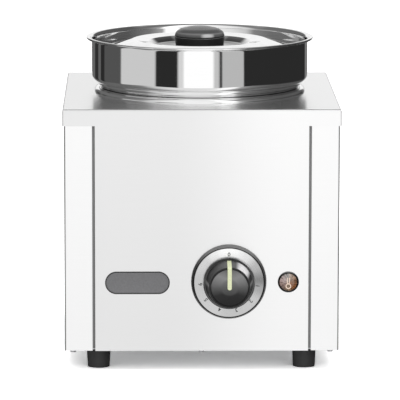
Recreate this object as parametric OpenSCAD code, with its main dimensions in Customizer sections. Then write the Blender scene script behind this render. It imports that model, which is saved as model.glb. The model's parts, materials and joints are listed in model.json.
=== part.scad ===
// Counter-top soup kettle: a folded steel housing holds a heated water well, and a lift-out
// stainless pot with an inset lid stands in the well on its collar.
// Millimetres, +Z up, the floor at Z = 0, the front with its control knob towards -Y.

/* [Housing] */
// Width of the deck over its skirts
deck_w = 300; // [292:1:330]
// Depth of the deck over its skirts
deck_d = 330; // [320:1:370]
// Height from the underside of the housing to the deck's top
housing_h = 263.4; // [256:0.2:300]
// Height of the skirt folded down round the deck
skirt_h = 18; // [12:1:28]
// Thickness of the housing's sheet
sheet_t = 1.2; // [1:0.1:1.5]
// Outer radius of the fold along the deck's edges
fold_r = 2.6; // [2:0.1:4]
// Space between the skirt's inner face and the side panels
panel_gap = 0.5; // [0.3:0.1:1]
// Width of the front fascia
fascia_w = 230.2; // [216:0.2:234]
// Width of the shadow slot on each side of the fascia
slot_w = 3; // [2:0.5:4]
// Depth of the folded edges that line the slots
return_d = 12; // [8:1:16]
// Width of the side and rear panels' inturned flanges
flange_w = 18; // [14:1:20]
// Reach of the bottom flanges in from the deck's front and rear edges
end_flange_w = 13; // [10:0.5:13.5]
// Length of one cooling slot in the rear panel
rear_vent_w = 70; // [50:1:80]
// Length of one cooling slot in the base plate
base_vent_w = 60; // [50:1:70]
// Height of a cooling slot
vent_h = 4; // [3:0.5:5]
// Distance between neighbouring rows of cooling slots
vent_pitch = 13; // [12:0.5:15]

/* [Feet] */
// Height of the feet below the housing
foot_h = 22; // [16:1:30]
// Diameter of a foot at the top
foot_top_d = 26.2; // [24:0.2:27]
// Diameter of a foot at the floor
foot_floor_d = 24; // [20:0.2:24]
// Distance from the deck's side edge to a foot's centre
foot_inset_x = 38.2; // [34:0.1:44]
// Distance from the deck's front or rear edge to a foot's centre
foot_inset_y = 28; // [28:0.5:40]
// Depth of the recess under a foot for its screw's head
foot_recess = 8; // [5:0.5:12]
// Radius of that recess
foot_recess_r = 6.2; // [5.8:0.1:7]

/* [Water well] */
// Diameter over the collar bead that stands on the deck
collar_d = 235; // [232:0.5:238]
// Width of the collar bead
bead_w = 10; // [8:0.5:12]
// Depth of the well's underside below the deck
well_depth = 168; // [160:1:174]
// Sheet thickness of the well
well_t = 1; // [0.8:0.1:1.5]
// Outer radius of the well's bottom corner
well_corner_r = 16; // [10:1:24]

/* [Pot] */
// Diameter of the pot's upper wall
pot_d = 240; // [239:0.5:246]
// Diameter over the rolled rim
rim_d = 252; // [250:0.5:258]
// Height of the rim's top above the deck
rim_h = 61; // [54:0.5:72]
// Diameter of the rolled rim's bead
rim_bead_d = 2.8; // [2.6:0.1:3.6]
// Radius of the sweep from the wall out to the rim
rim_sweep_r = 4; // [3:0.5:5]
// Height above the deck at which the upper wall begins to turn in
shoulder_h = 20; // [18:0.1:24]
// Radius of that turn
wall_turn_r = 8; // [4:0.5:9]
// Depth of the crease, where the shoulder proper begins, below the upper wall's end
crease_drop = 4; // [3.5:0.1:6]
// Inset of the crease from the upper wall
crease_in = 2; // [1:0.1:3]
// Radius of the crease
crease_r = 1.5; // [1.2:0.1:2]
// Diameter of the lower wall that hangs in the well
pot_lower_d = 204; // [196:1:206]
// Depth of the pot's underside below the deck
pot_depth = 145; // [130:1:148]
// Sheet thickness of the pot
pot_t = 1; // [0.8:0.1:1.2]
// Outer radius of the blend between the shoulder and the lower wall
shoulder_r = 6; // [4:0.5:8]
// Outer radius of the pot's bottom corner
pot_corner_r = 16; // [10:1:24]
// Diameter of the wire that forms the lid's ledge inside the pot
ledge_d = 3.4; // [2.6:0.1:4]

/* [Lid] */
// Depth of the lid's edge below the rim's top
lid_edge_drop = 13; // [12:0.5:16]
// Diameter at which the lid's rise meets its crest
crest_d = 147; // [130:1:160]
// Height of the crest's corner above the lid's edge
crest_h = 9.6; // [6:0.2:12]
// Slope of the rise, in degrees
rise_angle = 17; // [14:0.5:22]
// Diameter of the central dish
dish_d = 113; // [96:1:118]
// Depth of the dish below its own edge
dish_depth = 2.4; // [1.5:0.1:3]
// Fall from the crest's corner to the dish's edge
crest_fall = 2.2; // [1:0.1:3]
// Sheet thickness of the lid
lid_t = 0.8; // [0.6:0.1:1]
// Diameter of the lid knob's foot
lid_knob_foot_d = 52; // [44:0.5:54]
// Largest diameter of the lid knob
lid_knob_d = 56; // [50:0.5:60]
// Height of the lid knob's widest line above its foot
lid_knob_waist_h = 7.6; // [6:0.2:9]
// Height of the lid knob
lid_knob_h = 19.5; // [18:0.5:24]
// Radius of the shank of the lid knob's screw
lid_screw_r = 2; // [1.5:0.1:2.5]
// Length of the lid knob's screw
lid_screw_len = 12; // [9:0.5:14]
// Thickness of the washer under the lid
lid_washer_t = 1; // [0.8:0.1:1.5]

/* [Dial] */
// Distance of the dial's centre to the right of the middle
dial_x = 29.1; // [20:0.1:34]
// Depth of the dial's centre below the deck
dial_drop = 187.3; // [184:0.1:200]
// Diameter over the dial's dark rim
dial_d = 81.2; // [76:0.2:84]
// Width of the dial's dark rim
dial_rim_w = 2.5; // [1.5:0.1:3.5]
// Thickness of the dial plate
dial_t = 1.2; // [0.8:0.1:1.6]
// Height of the dial's rim above the fascia
dial_rim_t = 2; // [1.8:0.1:2.6]

/* [Control knob] */
// Diameter of the knob's skirt
knob_d = 55; // [48:0.5:58]
// Thickness of the knob's skirt
knob_skirt_t = 3.4; // [2.5:0.1:5]
// Diameter of the knob's grip just in front of the skirt
knob_grip_d = 51; // [44:0.5:51]
// Diameter of the knob's front face
knob_face_d = 43.8; // [38:0.2:46]
// Length of the knob from its back to its face
knob_len = 37.6; // [30:0.2:42]
// Radius of the edge round the knob's face
knob_edge_r = 1.6; // [1:0.1:2.5]
// Width of the pointer line
pointer_w = 4.5; // [3:0.1:6]
// Height that the pointer line stands proud of the grip
pointer_proud = 0.5; // [0.3:0.1:0.8]
// Radius of the control shaft
shaft_r = 3; // [2.5:0.1:3.4]

/* [Thermostat] */
// Width of the thermostat's body
thermostat_w = 40; // [32:1:46]
// Height of the thermostat's body
thermostat_h = 46; // [36:1:52]
// Depth of the thermostat's body behind the fascia
thermostat_d = 32; // [26:1:36]
// Wall of the threaded bush round the control shaft
bush_wall = 2.2; // [1.5:0.1:2.6]
// Width of the ring of the bush's nut
bush_nut_w = 3.2; // [2.5:0.1:4]
// Thickness of the bush's nut
bush_nut_t = 3; // [2:0.1:3.4]
// Length of the thermostat's bulb
bulb_len = 50; // [40:1:60]
// Radius of the capillary from the bulb to the body
capillary_r = 1; // [0.8:0.1:1.5]

/* [Pilot lamp] */
// Distance of the lamp's centre to the right of the middle
lamp_x = 93.4; // [88:0.1:96]
// Depth of the lamp's centre below the deck
lamp_drop = 187.8; // [184:0.1:200]
// Diameter over the lamp's bezel
lamp_d = 22.8; // [20:0.2:24]
// Width of the lamp's bezel ring
lamp_bezel_w = 1.9; // [1.4:0.1:2.4]
// Height that the lens stands proud of the fascia
lens_h = 4; // [3:0.2:6]
// Radius of the lamp's barrel behind the fascia
lamp_barrel_r = 7.9; // [6.5:0.1:8.1]
// Length of the lamp's barrel behind the fascia
lamp_barrel_len = 28; // [22:1:34]
// Thickness of the spring clip that holds the lamp
lamp_clip_t = 2; // [1:0.1:3]

/* [Badge] */
// Distance of the badge's centre to the left of the middle
badge_x = 69.5; // [64:0.1:74]
// Depth of the badge's centre below the deck
badge_drop = 188.6; // [184:0.1:200]
// Length of the badge
badge_w = 69.7; // [60:0.1:74]
// Height of the badge
badge_h = 24.5; // [18:0.1:28]
// Thickness of the badge
badge_t = 1.8; // [1.2:0.1:2.4]
// Width of the step round the badge's edge
badge_step = 1.4; // [1:0.1:2]

/* [Heating] */
// Radius of the heating element's tube
element_r = 4; // [3.5:0.1:5]
// Diameter of the ring that the element forms
element_ring_d = 140; // [132:1:150]
// Angle of the ring that is left open at the front, in degrees
element_open = 84; // [76:1:90]
// Diameter of the plate that clamps the element
clamp_d = 172; // [168:1:180]
// Thickness of the clamp plate
clamp_t = 2.5; // [2:0.1:4]
// Length of the element's ends below its ring
element_leg = 26; // [20:1:32]
// Radius of the cutout's disc
cutout_r = 8; // [6:0.5:10]
// Height of the cutout's disc
cutout_h = 10; // [8:0.5:12]
// Radius of the welded stud that carries the clamp plate
stud_r = 3; // [2.5:0.1:4]
// Thickness of the insulation round the well
insulation_t = 15; // [10:1:18]

/* [Cable entry] */
// Distance of the cable gland's centre from the deck's right edge
gland_inset = 55; // [45:1:70]
// Height of the cable gland above the housing's underside
gland_up = 42; // [34:1:60]
// Radius of the cable gland's bore
gland_bore_r = 4.2; // [3.5:0.1:5]
// Radius of the cable gland's threaded body
gland_thread_r = 8; // [7:0.1:9]
// Length of the cable gland outside the rear panel
gland_len = 19; // [14:0.5:24]
// Width of the gland's hexagon beyond its thread
gland_hex_w = 4; // [3:0.5:5]
// Thickness of the gland's outer hexagon
gland_hex_t = 6; // [5:0.5:8]
// Thickness of the gland's nut inside the rear panel
gland_nut_t = 5; // [4:0.5:6]

/* [Wiring] */
// Length of the terminal block
block_w = 44; // [40:1:50]
// Depth of the terminal block from front to back
block_d = 20; // [18:1:24]
// Height of the terminal block
block_h = 16; // [14:1:20]
// Distance between the terminal block's poles
pole_pitch = 14; // [12:0.5:15]
// Distance of the block's centre from the cable gland's, towards the middle
block_aside = 20; // [14:1:26]
// Distance of the block's centre from the rear panel
block_setback = 70; // [60:1:90]
// Distance of the earth stud from the rear panel
earth_setback = 40; // [34:1:50]
// Height of the earth stud
earth_h = 16; // [12:1:20]
// Radius of an insulated lead
wire_r = 1.3; // [1:0.1:1.5]
// Radius of a lead's bends
wire_bend = 4; // [3:0.5:5]

/* [Fasteners] */
// Radius of the housing screws' shanks
screw_r = 1.75; // [1.5:0.05:2.2]
// Radius of the foot screws' shanks
foot_screw_r = 2.5; // [2:0.1:3]
// Length of the housing screws' shanks
screw_len = 8; // [6:0.5:10]
// Height of a screw's head
head_h = 2.2; // [1.8:0.1:2.6]
// Height of a nut
nut_h = 4; // [3:0.5:5]

/* [Clearances] */
// Clearance between a shank and the hole it passes
hole_gap = 0.1; // [0.05:0.05:0.2]
// Gap at rest where one lifting piece stands on another
rest_gap = 0.3; // [0.2:0.05:0.4]
// Clearance between the lid's edge and the pot's wall
lid_gap = 0.7; // [0.5:0.1:1.2]
// Running clearance round the control shaft
running_gap = 0.08; // [0.05:0.01:0.1]
// Gap between the knob's back and the dial plate
knob_gap = 1.2; // [0.6:0.1:2]
// Clearance between neighbouring housing sheets
sheet_gap = 0.2; // [0.1:0.05:0.3]

/* [Hidden] */
$fn = 96;
ARC_STEPS = 10;
BITE = 1;

base_z = foot_h;
deck_z = foot_h + housing_h;
front_y = -deck_d / 2;
rear_y = deck_d / 2;
panel_inset = sheet_t + panel_gap;
panel_x = deck_w / 2 - panel_inset;
panel_front_y = front_y + panel_inset;
panel_rear_y = rear_y - panel_inset;
panel_top_z = deck_z - fold_r;
plate_top_z = base_z + 2 * sheet_t;
strip_x = fascia_w / 2 + slot_w;
flange_mid_x = panel_x - flange_w / 2;
gland_x = deck_w / 2 - gland_inset;

knob_reach = dial_t + knob_gap + knob_len + pointer_proud;
placed_y = (knob_reach - (gland_len - panel_inset)) / 2;

bead_r = bead_w / 2;
bead_mid_r = collar_d / 2 - bead_r;
well_r = bead_mid_r - bead_r + well_t;
well_floor_z = deck_z - well_depth;

pot_r = pot_d / 2;
crease_mid_r = pot_r - crease_in;
crease_h = shoulder_h - crease_drop;
shoulder_seat = [crease_mid_r - bead_mid_r, crease_h];
shoulder_angle = atan2(shoulder_seat.y, shoulder_seat.x)
  - asin((bead_r + rest_gap) / norm(shoulder_seat));
lower_r = pot_lower_d / 2;
shoulder_foot_h = crease_h - (crease_mid_r - lower_r) * tan(shoulder_angle);
rim_bead_r = rim_bead_d / 2;
rim_mid_r = rim_d / 2 - rim_bead_r;
flange_h = rim_h - pot_t;

ledge_r = ledge_d / 2;
ledge_mid_r = pot_r - pot_t - ledge_r - sheet_gap / 4;
lid_edge_h = rim_h - lid_edge_drop;
lid_r = pot_r - pot_t - lid_gap;
crest_r = crest_d / 2;
dish_r = dish_d / 2;
crest_z = lid_edge_h + crest_h;
rise_r = crest_r + crest_h / tan(rise_angle);
dish_edge_z = crest_z - crest_fall;
dish_z = dish_edge_z - dish_depth;

element_z = well_floor_z - element_r;
element_end = 90 - element_open / 2;
clamp_z = well_floor_z - 2 * element_r - clamp_t;
stud_len = 2 * element_r + clamp_t + 2.5 * nut_h;

bush_r = shaft_r + bush_wall;
bush_nut_r = bush_r + bush_nut_w;
knob_back = dial_t + knob_gap;
bush_front = dial_t + bush_nut_t + bush_nut_t / 3;
knob_recess_r = 1.25 * bush_nut_r;
knob_recess = dial_t + 2 * bush_nut_t - knob_back;
shaft_front = knob_back + 0.7 * knob_len;
thermostat_back_y = front_y + sheet_t + thermostat_d;
block_at = [gland_x - block_aside, panel_rear_y - block_setback, plate_top_z];

foot_total_h = foot_h + sheet_t;

// ---- profiles -------------------------------------------------------------------------------

function unit(v) = v / norm(v);
function left_of(v) = [-v.y, v.x];

// The arc that rounds the corner b between a and c to radius r, turning from the first side to the last
function rounding(a, b, c, r) =
  let (u = unit(a - b), v = unit(c - b), half = acos(u * v) / 2)
  let (mid = b + unit(u + v) * r / sin(half), from = b + u * r / tan(half) - mid)
  let (to = b + v * r / tan(half) - mid, start = atan2(from.y, from.x))
  let (step = ((atan2(to.y, to.x) - start + 540) % 360 - 180) / ARC_STEPS)
  [for (i = [0 : ARC_STEPS]) mid + r * [cos(start + step * i), sin(start + step * i)]];

// A line through corners [x, y, radius], with each inner corner rounded
function rounded_line(c) = [
  for (i = [0 : len(c) - 1])
    let (p = [c[i].x, c[i].y])
    each (i == 0 || i == len(c) - 1 || c[i].z == 0) ? [p]
      : rounding([c[i - 1].x, c[i - 1].y], p, [c[i + 1].x, c[i + 1].y], c[i].z)
];

// The same line moved sideways by t, to the left of its direction
function beside(line, t) = [
  for (i = [0 : len(line) - 1])
    let (before = unit(i == 0 ? line[1] - line[0] : line[i] - line[i - 1]))
    let (after = i == len(line) - 1 ? before : unit(line[i + 1] - line[i]))
    let (n = unit(left_of(before) + left_of(after)))
    line[i] + n * t / (n * left_of(before))
];

function reversed(line) = [for (i = [len(line) - 1 : -1 : 0]) line[i]];

// A strip of sheet of thickness t that follows a line
module sheet_strip(line, t) {
  polygon(concat(line, reversed(beside(line, t))));
}

// A block's outline with its two top corners rounded, hanging down from the X axis
module top_rounded(w, h, r) {
  translate([-w / 2, -h]) square([w, h - r]);
  translate([-w / 2 + r, -r - BITE]) square([w - 2 * r, r + BITE]);
  for (side = [-1, 1]) translate([side * (w / 2 - r), -r]) circle(r);
}

// A long hole or plate with round ends, centred
module stadium(w, h) {
  square([w - h, h], center = true);
  for (side = [-1, 1]) translate([side * (w - h) / 2, 0]) circle(h / 2);
}

// ---- shared placing and solids --------------------------------------------------------------

// Every piece is drawn about the pot's axis; this puts the whole kettle over the origin
module placed() {
  translate([0, placed_y, 0]) children();
}

// Puts a drawing on the fascia, its Z axis pointing out towards the front
module on_fascia(x, drop) {
  translate([x, front_y, deck_z - drop]) rotate([90, 0, 0]) children();
}

// Puts a drawing on the rear panel, its Z axis pointing out towards the back
module on_rear(x, z) {
  translate([x, panel_rear_y, z]) rotate([-90, 0, 0]) children();
}

module at_feet() {
  for (x = [-1, 1], y = [-1, 1])
    translate([x * (deck_w / 2 - foot_inset_x), y * (deck_d / 2 - foot_inset_y), 0]) children();
}

module at_base_screws() {
  row_y = rear_y - end_flange_w / 2 - sheet_t;
  for (x = [-1, 0, 1], y = [-1, 1]) translate([x * flange_mid_x, y * row_y, base_z]) children();
  for (x = [-1, 1]) translate([x * flange_mid_x, 0, base_z]) children();
}

module at_rear_screws() {
  for (x = [-1, 1], z = [0.14, 0.5, 0.86])
    on_rear(x * flange_mid_x, base_z + housing_h * z) children();
}

// A pan-head screw standing on Z = 0, its shank pointing down
module pan_screw(r, len) {
  rotate_extrude()
    polygon([
      [0, -len], [r, -len], [r, 0], [2 * r, 0], [2 * r, 0.5 * head_h], [1.6 * r, head_h], [0, head_h]
    ]);
}

module hex_nut(r, across_r, h) {
  difference() {
    cylinder(h = h, r = across_r, $fn = 6);
    translate([0, 0, -BITE]) cylinder(h = h + 2 * BITE, r = r);
  }
}

module rod(a, b, r) {
  run = b - a;
  translate(a)
    rotate([0, acos(run.z / norm(run)), atan2(run.y, run.x)])
      cylinder(h = norm(run), r = r, $fn = 32);
}

// A quarter bend of round rod at the corner b, from direction u into direction v
module elbow(b, u, v, r, bend) {
  c = b + (v - u) * bend;
  w = cross(u, v);
  multmatrix([[-v.x, u.x, w.x, c.x], [-v.y, u.y, w.y, c.y], [-v.z, u.z, w.z, c.z], [0, 0, 0, 1]])
    rotate_extrude(angle = 90, $fn = 64) translate([bend, 0]) circle(r, $fn = 24);
}

// A round wire along square-cornered points, each corner bent to a radius
module wire(points, r, bend) {
  last = len(points) - 1;
  for (i = [1 : last]) {
    u = unit(points[i] - points[i - 1]);
    rod(points[i - 1] + u * (i > 1 ? bend : 0), points[i] - u * (i < last ? bend : 0), r);
    if (i < last) elbow(points[i], u, unit(points[i + 1] - points[i]), r, bend);
  }
}

// An insulated lead
module lead(points) {
  wire(points, wire_r, wire_bend);
}

// A ring of rectangular section
module ring(outer_r, inner_r, h) {
  difference() {
    cylinder(h = h, r = outer_r);
    translate([0, 0, -BITE]) cylinder(h = h + 2 * BITE, r = inner_r);
  }
}

// ---- housing --------------------------------------------------------------------------------

// A shallow tray turned upside down, folded from sheet with rounded top edges
module folded_block(w, d, h, r) {
  intersection() {
    rotate([90, 0, 0]) linear_extrude(d, center = true) top_rounded(w, h, r);
    rotate([90, 0, 90]) linear_extrude(w, center = true) top_rounded(d, h, r);
  }
}

module deck_shell() {
  difference() {
    translate([0, 0, deck_z]) folded_block(deck_w, deck_d, skirt_h, fold_r);
    translate([0, 0, deck_z - sheet_t])
      folded_block(deck_w - 2 * sheet_t, deck_d - 2 * sheet_t, skirt_h, fold_r - sheet_t);
  }
}

// The fascia continues the deck's front skirt down to the base and folds in along its edges
module fascia_sheet() {
  translate([-fascia_w / 2, front_y, base_z])
    cube([fascia_w, sheet_t, housing_h - skirt_h + BITE]);
  translate([-fascia_w / 2, front_y, base_z]) cube([fascia_w, end_flange_w, sheet_t]);
  for (side = [0, 1])
    mirror([side, 0, 0])
      translate([fascia_w / 2 - sheet_t, front_y, plate_top_z])
        cube([sheet_t, return_d, deck_z - sheet_t / 2 - plate_top_z]);
}

module top_and_front_panel() {
  color("gainsboro") placed() difference() {
    union() {
      deck_shell();
      fascia_sheet();
    }
    translate([0, 0, deck_z - skirt_h]) cylinder(h = 2 * skirt_h, r = well_r + sheet_gap);
    on_fascia(dial_x, dial_drop)
      translate([0, 0, -2 * sheet_t]) cylinder(h = 3 * sheet_t, r = bush_r + hole_gap);
    on_fascia(lamp_x, lamp_drop)
      translate([0, 0, -2 * sheet_t]) cylinder(h = 3 * sheet_t, r = lamp_barrel_r + hole_gap);
    at_base_screws() translate([0, 0, -BITE]) cylinder(h = 3 * sheet_t, r = screw_r + hole_gap);
  }
}

// One side: a deep channel with a front strip, a rear return and a bottom flange
module side_panel_sheet() {
  tall = panel_top_z - base_z;
  long = panel_rear_y - sheet_t - panel_front_y;
  translate([panel_x - sheet_t, panel_front_y, base_z]) cube([sheet_t, long, tall]);
  translate([strip_x, panel_front_y, base_z]) cube([panel_x - strip_x, sheet_t, tall]);
  translate([strip_x, panel_front_y, plate_top_z])
    cube([sheet_t, return_d - panel_inset, panel_top_z - plate_top_z]);
  translate([panel_x - flange_w + BITE, panel_front_y + long - sheet_t, base_z])
    cube([flange_w - BITE, sheet_t, tall]);
  translate([panel_x - flange_w, panel_front_y, base_z]) cube([flange_w, long, sheet_t]);
}

module side_panel_cut() {
  difference() {
    side_panel_sheet();
    at_base_screws() translate([0, 0, -BITE]) cylinder(h = 3 * sheet_t, r = screw_r + hole_gap);
    at_rear_screws()
      translate([0, 0, -3 * sheet_t]) cylinder(h = 4 * sheet_t, r = screw_r + hole_gap);
  }
}

module right_side_panel() {
  color("whitesmoke") placed() side_panel_cut();
}

module left_side_panel() {
  color("whitesmoke") placed() mirror([1, 0, 0]) side_panel_cut();
}

module rear_panel() {
  color("lightgray") placed() difference() {
    union() {
      translate([-panel_x, panel_rear_y - sheet_t, base_z])
        cube([2 * panel_x, sheet_t, panel_top_z - base_z]);
      translate([-panel_x + flange_w + BITE, rear_y - end_flange_w, base_z])
        cube([2 * (panel_x - flange_w - BITE), end_flange_w - panel_inset, sheet_t]);
    }
    at_rear_screws()
      translate([0, 0, -3 * sheet_t]) cylinder(h = 4 * sheet_t, r = screw_r + hole_gap);
    at_base_screws() translate([0, 0, -BITE]) cylinder(h = 3 * sheet_t, r = screw_r + hole_gap);
    on_rear(gland_x, base_z + gland_up)
      translate([0, 0, -3 * sheet_t]) cylinder(h = 4 * sheet_t, r = gland_thread_r + hole_gap);
    rear_vents();
  }
}

// Two columns of long cooling slots in the upper part of the rear panel
module rear_vents() {
  top_row_z = deck_z - skirt_h - 2 * vent_pitch;
  for (x = [-1, 1], row = [0 : 4])
    on_rear(x * (rear_vent_w + vent_pitch) / 2, top_row_z - row * vent_pitch)
      translate([0, 0, -3 * sheet_t]) linear_extrude(4 * sheet_t) stadium(rear_vent_w, vent_h);
}

module base_plate() {
  low_y = panel_front_y + sheet_t + sheet_gap;
  high_y = panel_rear_y - 2 * sheet_t - sheet_gap;
  half_w = panel_x - sheet_t - sheet_gap;
  color("darkgray") placed() difference() {
    translate([-half_w, low_y, base_z + sheet_t]) cube([2 * half_w, high_y - low_y, sheet_t]);
    at_feet() translate([0, 0, base_z]) cylinder(h = 3 * sheet_t, r = foot_screw_r + hole_gap);
    at_base_screws() cylinder(h = 3 * sheet_t, r = screw_r + hole_gap);
    for (x = [-1, 1], row = [-3 : 3])
      translate([x * (base_vent_w + vent_pitch) / 2, row * vent_pitch, base_z])
        linear_extrude(3 * sheet_t) stadium(base_vent_w, vent_h);
  }
}

module foot(x_side, y_side) {
  color("dimgray") placed()
    translate([x_side * (deck_w / 2 - foot_inset_x), y_side * (deck_d / 2 - foot_inset_y), 0])
      difference() {
        cylinder(h = foot_total_h, d1 = foot_floor_d, d2 = foot_top_d);
        translate([0, 0, -BITE]) cylinder(h = foot_recess + BITE, r = foot_recess_r);
        cylinder(h = foot_total_h + BITE, r = foot_screw_r + hole_gap);
      }
}

module foot_front_left() { foot(-1, -1); }
module foot_front_right() { foot(1, -1); }
module foot_rear_left() { foot(-1, 1); }
module foot_rear_right() { foot(1, 1); }

module foot_screws() {
  color("silver") placed() at_feet()
    translate([0, 0, foot_recess]) rotate([180, 0, 0])
      pan_screw(foot_screw_r, plate_top_z + 1.5 * nut_h - foot_recess);
}

module foot_nuts() {
  color("silver") placed() at_feet()
    translate([0, 0, plate_top_z]) hex_nut(foot_screw_r, 1.8 * foot_screw_r, nut_h);
}

module base_screws() {
  color("silver") placed() at_base_screws() rotate([180, 0, 0]) pan_screw(screw_r, screw_len);
}

module rear_screws() {
  color("silver") placed() at_rear_screws() pan_screw(screw_r, screw_len);
}

// ---- water well and heating -----------------------------------------------------------------

// The well is drawn from sheet; its lip is the round collar bead that stands on the deck
module water_well() {
  inner_r = well_r - well_t;
  floor_h = well_t - well_depth;
  bead = [for (a = [0 : 7.5 : 172.5]) [bead_mid_r, 0] + bead_r * [cos(a), sin(a)]];
  wall = rounded_line([[inner_r, 0, 0], [inner_r, floor_h, well_corner_r - well_t], [0, floor_h, 0]]);
  color("silver") placed() translate([0, 0, deck_z]) rotate_extrude() difference() {
    sheet_strip(concat(bead, wall), well_t);
    translate([bead_mid_r, -well_t]) square([bead_w, well_t]);
  }
}

module well_insulation() {
  color("khaki") placed() translate([0, 0, well_floor_z + well_corner_r])
    ring(well_r + rest_gap + insulation_t, well_r + rest_gap, well_depth - well_corner_r - skirt_h);
}

module clamp_stud() {
  color("silver") placed() translate([0, 0, well_floor_z - stud_len]) cylinder(h = stud_len, r = stud_r);
}

// A ring of sheathed tube under the well, its two ends turned down through the clamp plate
module heating_element() {
  ring_r = element_ring_d / 2;
  pin_r = element_r + 0.5;
  color("dimgray") placed() translate([0, 0, element_z]) {
    rotate([0, 0, element_open / 2 - 90])
      rotate_extrude(angle = 360 - element_open) translate([ring_r, 0]) circle(element_r);
    for (side = [-1, 1])
      rotate([0, 0, side * element_open / 2 - 90])
        translate([ring_r, 0, -element_leg]) cylinder(h = element_leg + element_r, r = pin_r);
  }
}

module element_clamp_plate() {
  ring_r = element_ring_d / 2;
  color("lightsteelblue") placed() translate([0, 0, clamp_z]) difference() {
    cylinder(h = clamp_t, d = clamp_d);
    translate([0, 0, -BITE]) cylinder(h = clamp_t + 2 * BITE, r = stud_r + hole_gap);
    for (side = [-1, 1])
      rotate([0, 0, side * element_open / 2 - 90])
        translate([ring_r, 0, -BITE]) cylinder(h = clamp_t + 2 * BITE, r = element_r + 1);
  }
}

module clamp_nut() {
  color("silver") placed() translate([0, 0, clamp_z - nut_h]) hex_nut(stud_r, 1.8 * stud_r, nut_h);
}

// A disc thermostat that cuts the power if the well boils dry
module safety_cutout() {
  tab = [3, 0.8, 7];
  color("ivory") placed() translate([-element_ring_d / 4, 0, clamp_z]) {
    translate([0, 0, -cutout_h]) cylinder(h = cutout_h, r = cutout_r);
    for (side = [-1, 1])
      translate([(side * cutout_r - tab.x) / 2, -tab.y / 2, -cutout_h - tab.z])
        cube([tab.x, tab.y, tab.z + BITE]);
  }
}

// ---- thermostat, knob and dial --------------------------------------------------------------

module thermostat_body() {
  color("ivory") placed() on_fascia(dial_x, dial_drop) difference() {
    union() {
      translate([-thermostat_w / 2, -thermostat_h / 2, -sheet_t - thermostat_d])
        cube([thermostat_w, thermostat_h, thermostat_d]);
      translate([0, 0, -sheet_t - BITE]) cylinder(h = sheet_t + BITE + bush_front, r = bush_r);
    }
    translate([0, 0, -thermostat_d / 2])
      cylinder(h = thermostat_d + knob_len, r = shaft_r + running_gap);
  }
}

module thermostat_nut() {
  color("silver") placed() on_fascia(dial_x, dial_drop)
    translate([0, 0, dial_t]) hex_nut(bush_r, bush_nut_r, bush_nut_t);
}

module thermostat_shaft() {
  color("silver") placed() on_fascia(dial_x, dial_drop)
    translate([0, 0, rest_gap - thermostat_d / 2])
      cylinder(h = shaft_front + thermostat_d / 2 - rest_gap, r = shaft_r);
}

// The bulb lies under the well inside the element's ring; a fine capillary leads to the body
module thermostat_bulb() {
  bulb_y = -element_ring_d / 4;
  bend = 3 * capillary_r;
  bulb_end = dial_x - 2 * bend;
  lead_y = (thermostat_back_y - clamp_d / 2) / 2;
  capillary_z = deck_z - dial_drop + 0.37 * thermostat_h;
  color("peru") placed() {
    translate([bulb_end - bulb_len, bulb_y, element_z])
      rotate([0, 90, 0]) cylinder(h = bulb_len, r = element_r);
    wire([[bulb_end - BITE, bulb_y, element_z], [dial_x, bulb_y, element_z], [dial_x, lead_y, element_z],
          [dial_x, lead_y, capillary_z], [dial_x, thermostat_back_y, capillary_z]], capillary_r, bend);
  }
}

// The knob's skirt, tapered grip and face are one moulding, hollowed behind for the bush nut
module control_knob() {
  skirt_end = knob_back + knob_skirt_t;
  face = knob_back + knob_len;
  outline = rounded_line([
    [0, face - 0.5, 0], [knob_face_d / 2 - 2.4, face - 0.5, 1], [knob_face_d / 2 - 1.6, face, 0.5],
    [knob_face_d / 2, face, knob_edge_r], [knob_grip_d / 2, skirt_end + 1, 0.8],
    [knob_d / 2, skirt_end, 0.8], [knob_d / 2, knob_back, 0]
  ]);
  color("dimgray") placed() on_fascia(dial_x, dial_drop) difference() {
    rotate_extrude() polygon(concat(outline, [[0, knob_back]]));
    translate([0, 0, knob_back - BITE]) cylinder(h = knob_recess + BITE, r = knob_recess_r);
    cylinder(h = shaft_front, r = shaft_r + hole_gap / 2);
    pointer_bar();
  }
}

// The pointer line runs from the skirt up the grip and over the face to its centre
module pointer_bar() {
  proud = pointer_proud;
  half_w = pointer_w / 2;
  face_r = knob_face_d / 2;
  face = knob_back + knob_len;
  start = knob_back + knob_skirt_t + 3;
  grip_slope = (knob_grip_d - knob_face_d) / 2 / (knob_len - knob_skirt_t - 1);
  grip_r = knob_face_d / 2 + grip_slope * (face - start);
  depth = 1.2;
  rotate([90, 0, 90]) linear_extrude(pointer_w, center = true)
    polygon([
      [0, face + proud], [face_r + proud - 1, face + proud], [face_r + proud, face - 0.5],
      [grip_r + proud, start], [grip_r - depth, start], [face_r - depth, face - depth],
      [0, face - depth]
    ]);
  translate([0, 0, face - depth]) cylinder(h = depth + proud, r = half_w);
}

module knob_pointer() {
  color("palegoldenrod") placed() on_fascia(dial_x, dial_drop) pointer_bar();
}

module dial_plate() {
  color("silver") placed() on_fascia(dial_x, dial_drop)
    ring(dial_d / 2 - dial_rim_w, bush_r + hole_gap, dial_t);
}

module dial_rim() {
  outer_r = dial_d / 2;
  inner_r = outer_r - dial_rim_w;
  color("dimgray") placed() on_fascia(dial_x, dial_drop) rotate_extrude()
    polygon([[inner_r, 0], [outer_r, 0], [outer_r, dial_rim_t / 2], [inner_r + dial_rim_w / 2, dial_rim_t],
             [inner_r, dial_rim_t]]);
}

// ---- pilot lamp and badge -------------------------------------------------------------------

module pilot_lamp_bezel() {
  outer_r = lamp_d / 2;
  bezel_h = lens_h / 2;
  color("dimgray") placed() on_fascia(lamp_x, lamp_drop) rotate_extrude()
    polygon([[outer_r - lamp_bezel_w, 0], [outer_r, 0], [outer_r, bezel_h / 2],
             [outer_r - lamp_bezel_w / 2, bezel_h], [outer_r - lamp_bezel_w, bezel_h]]);
}

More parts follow.
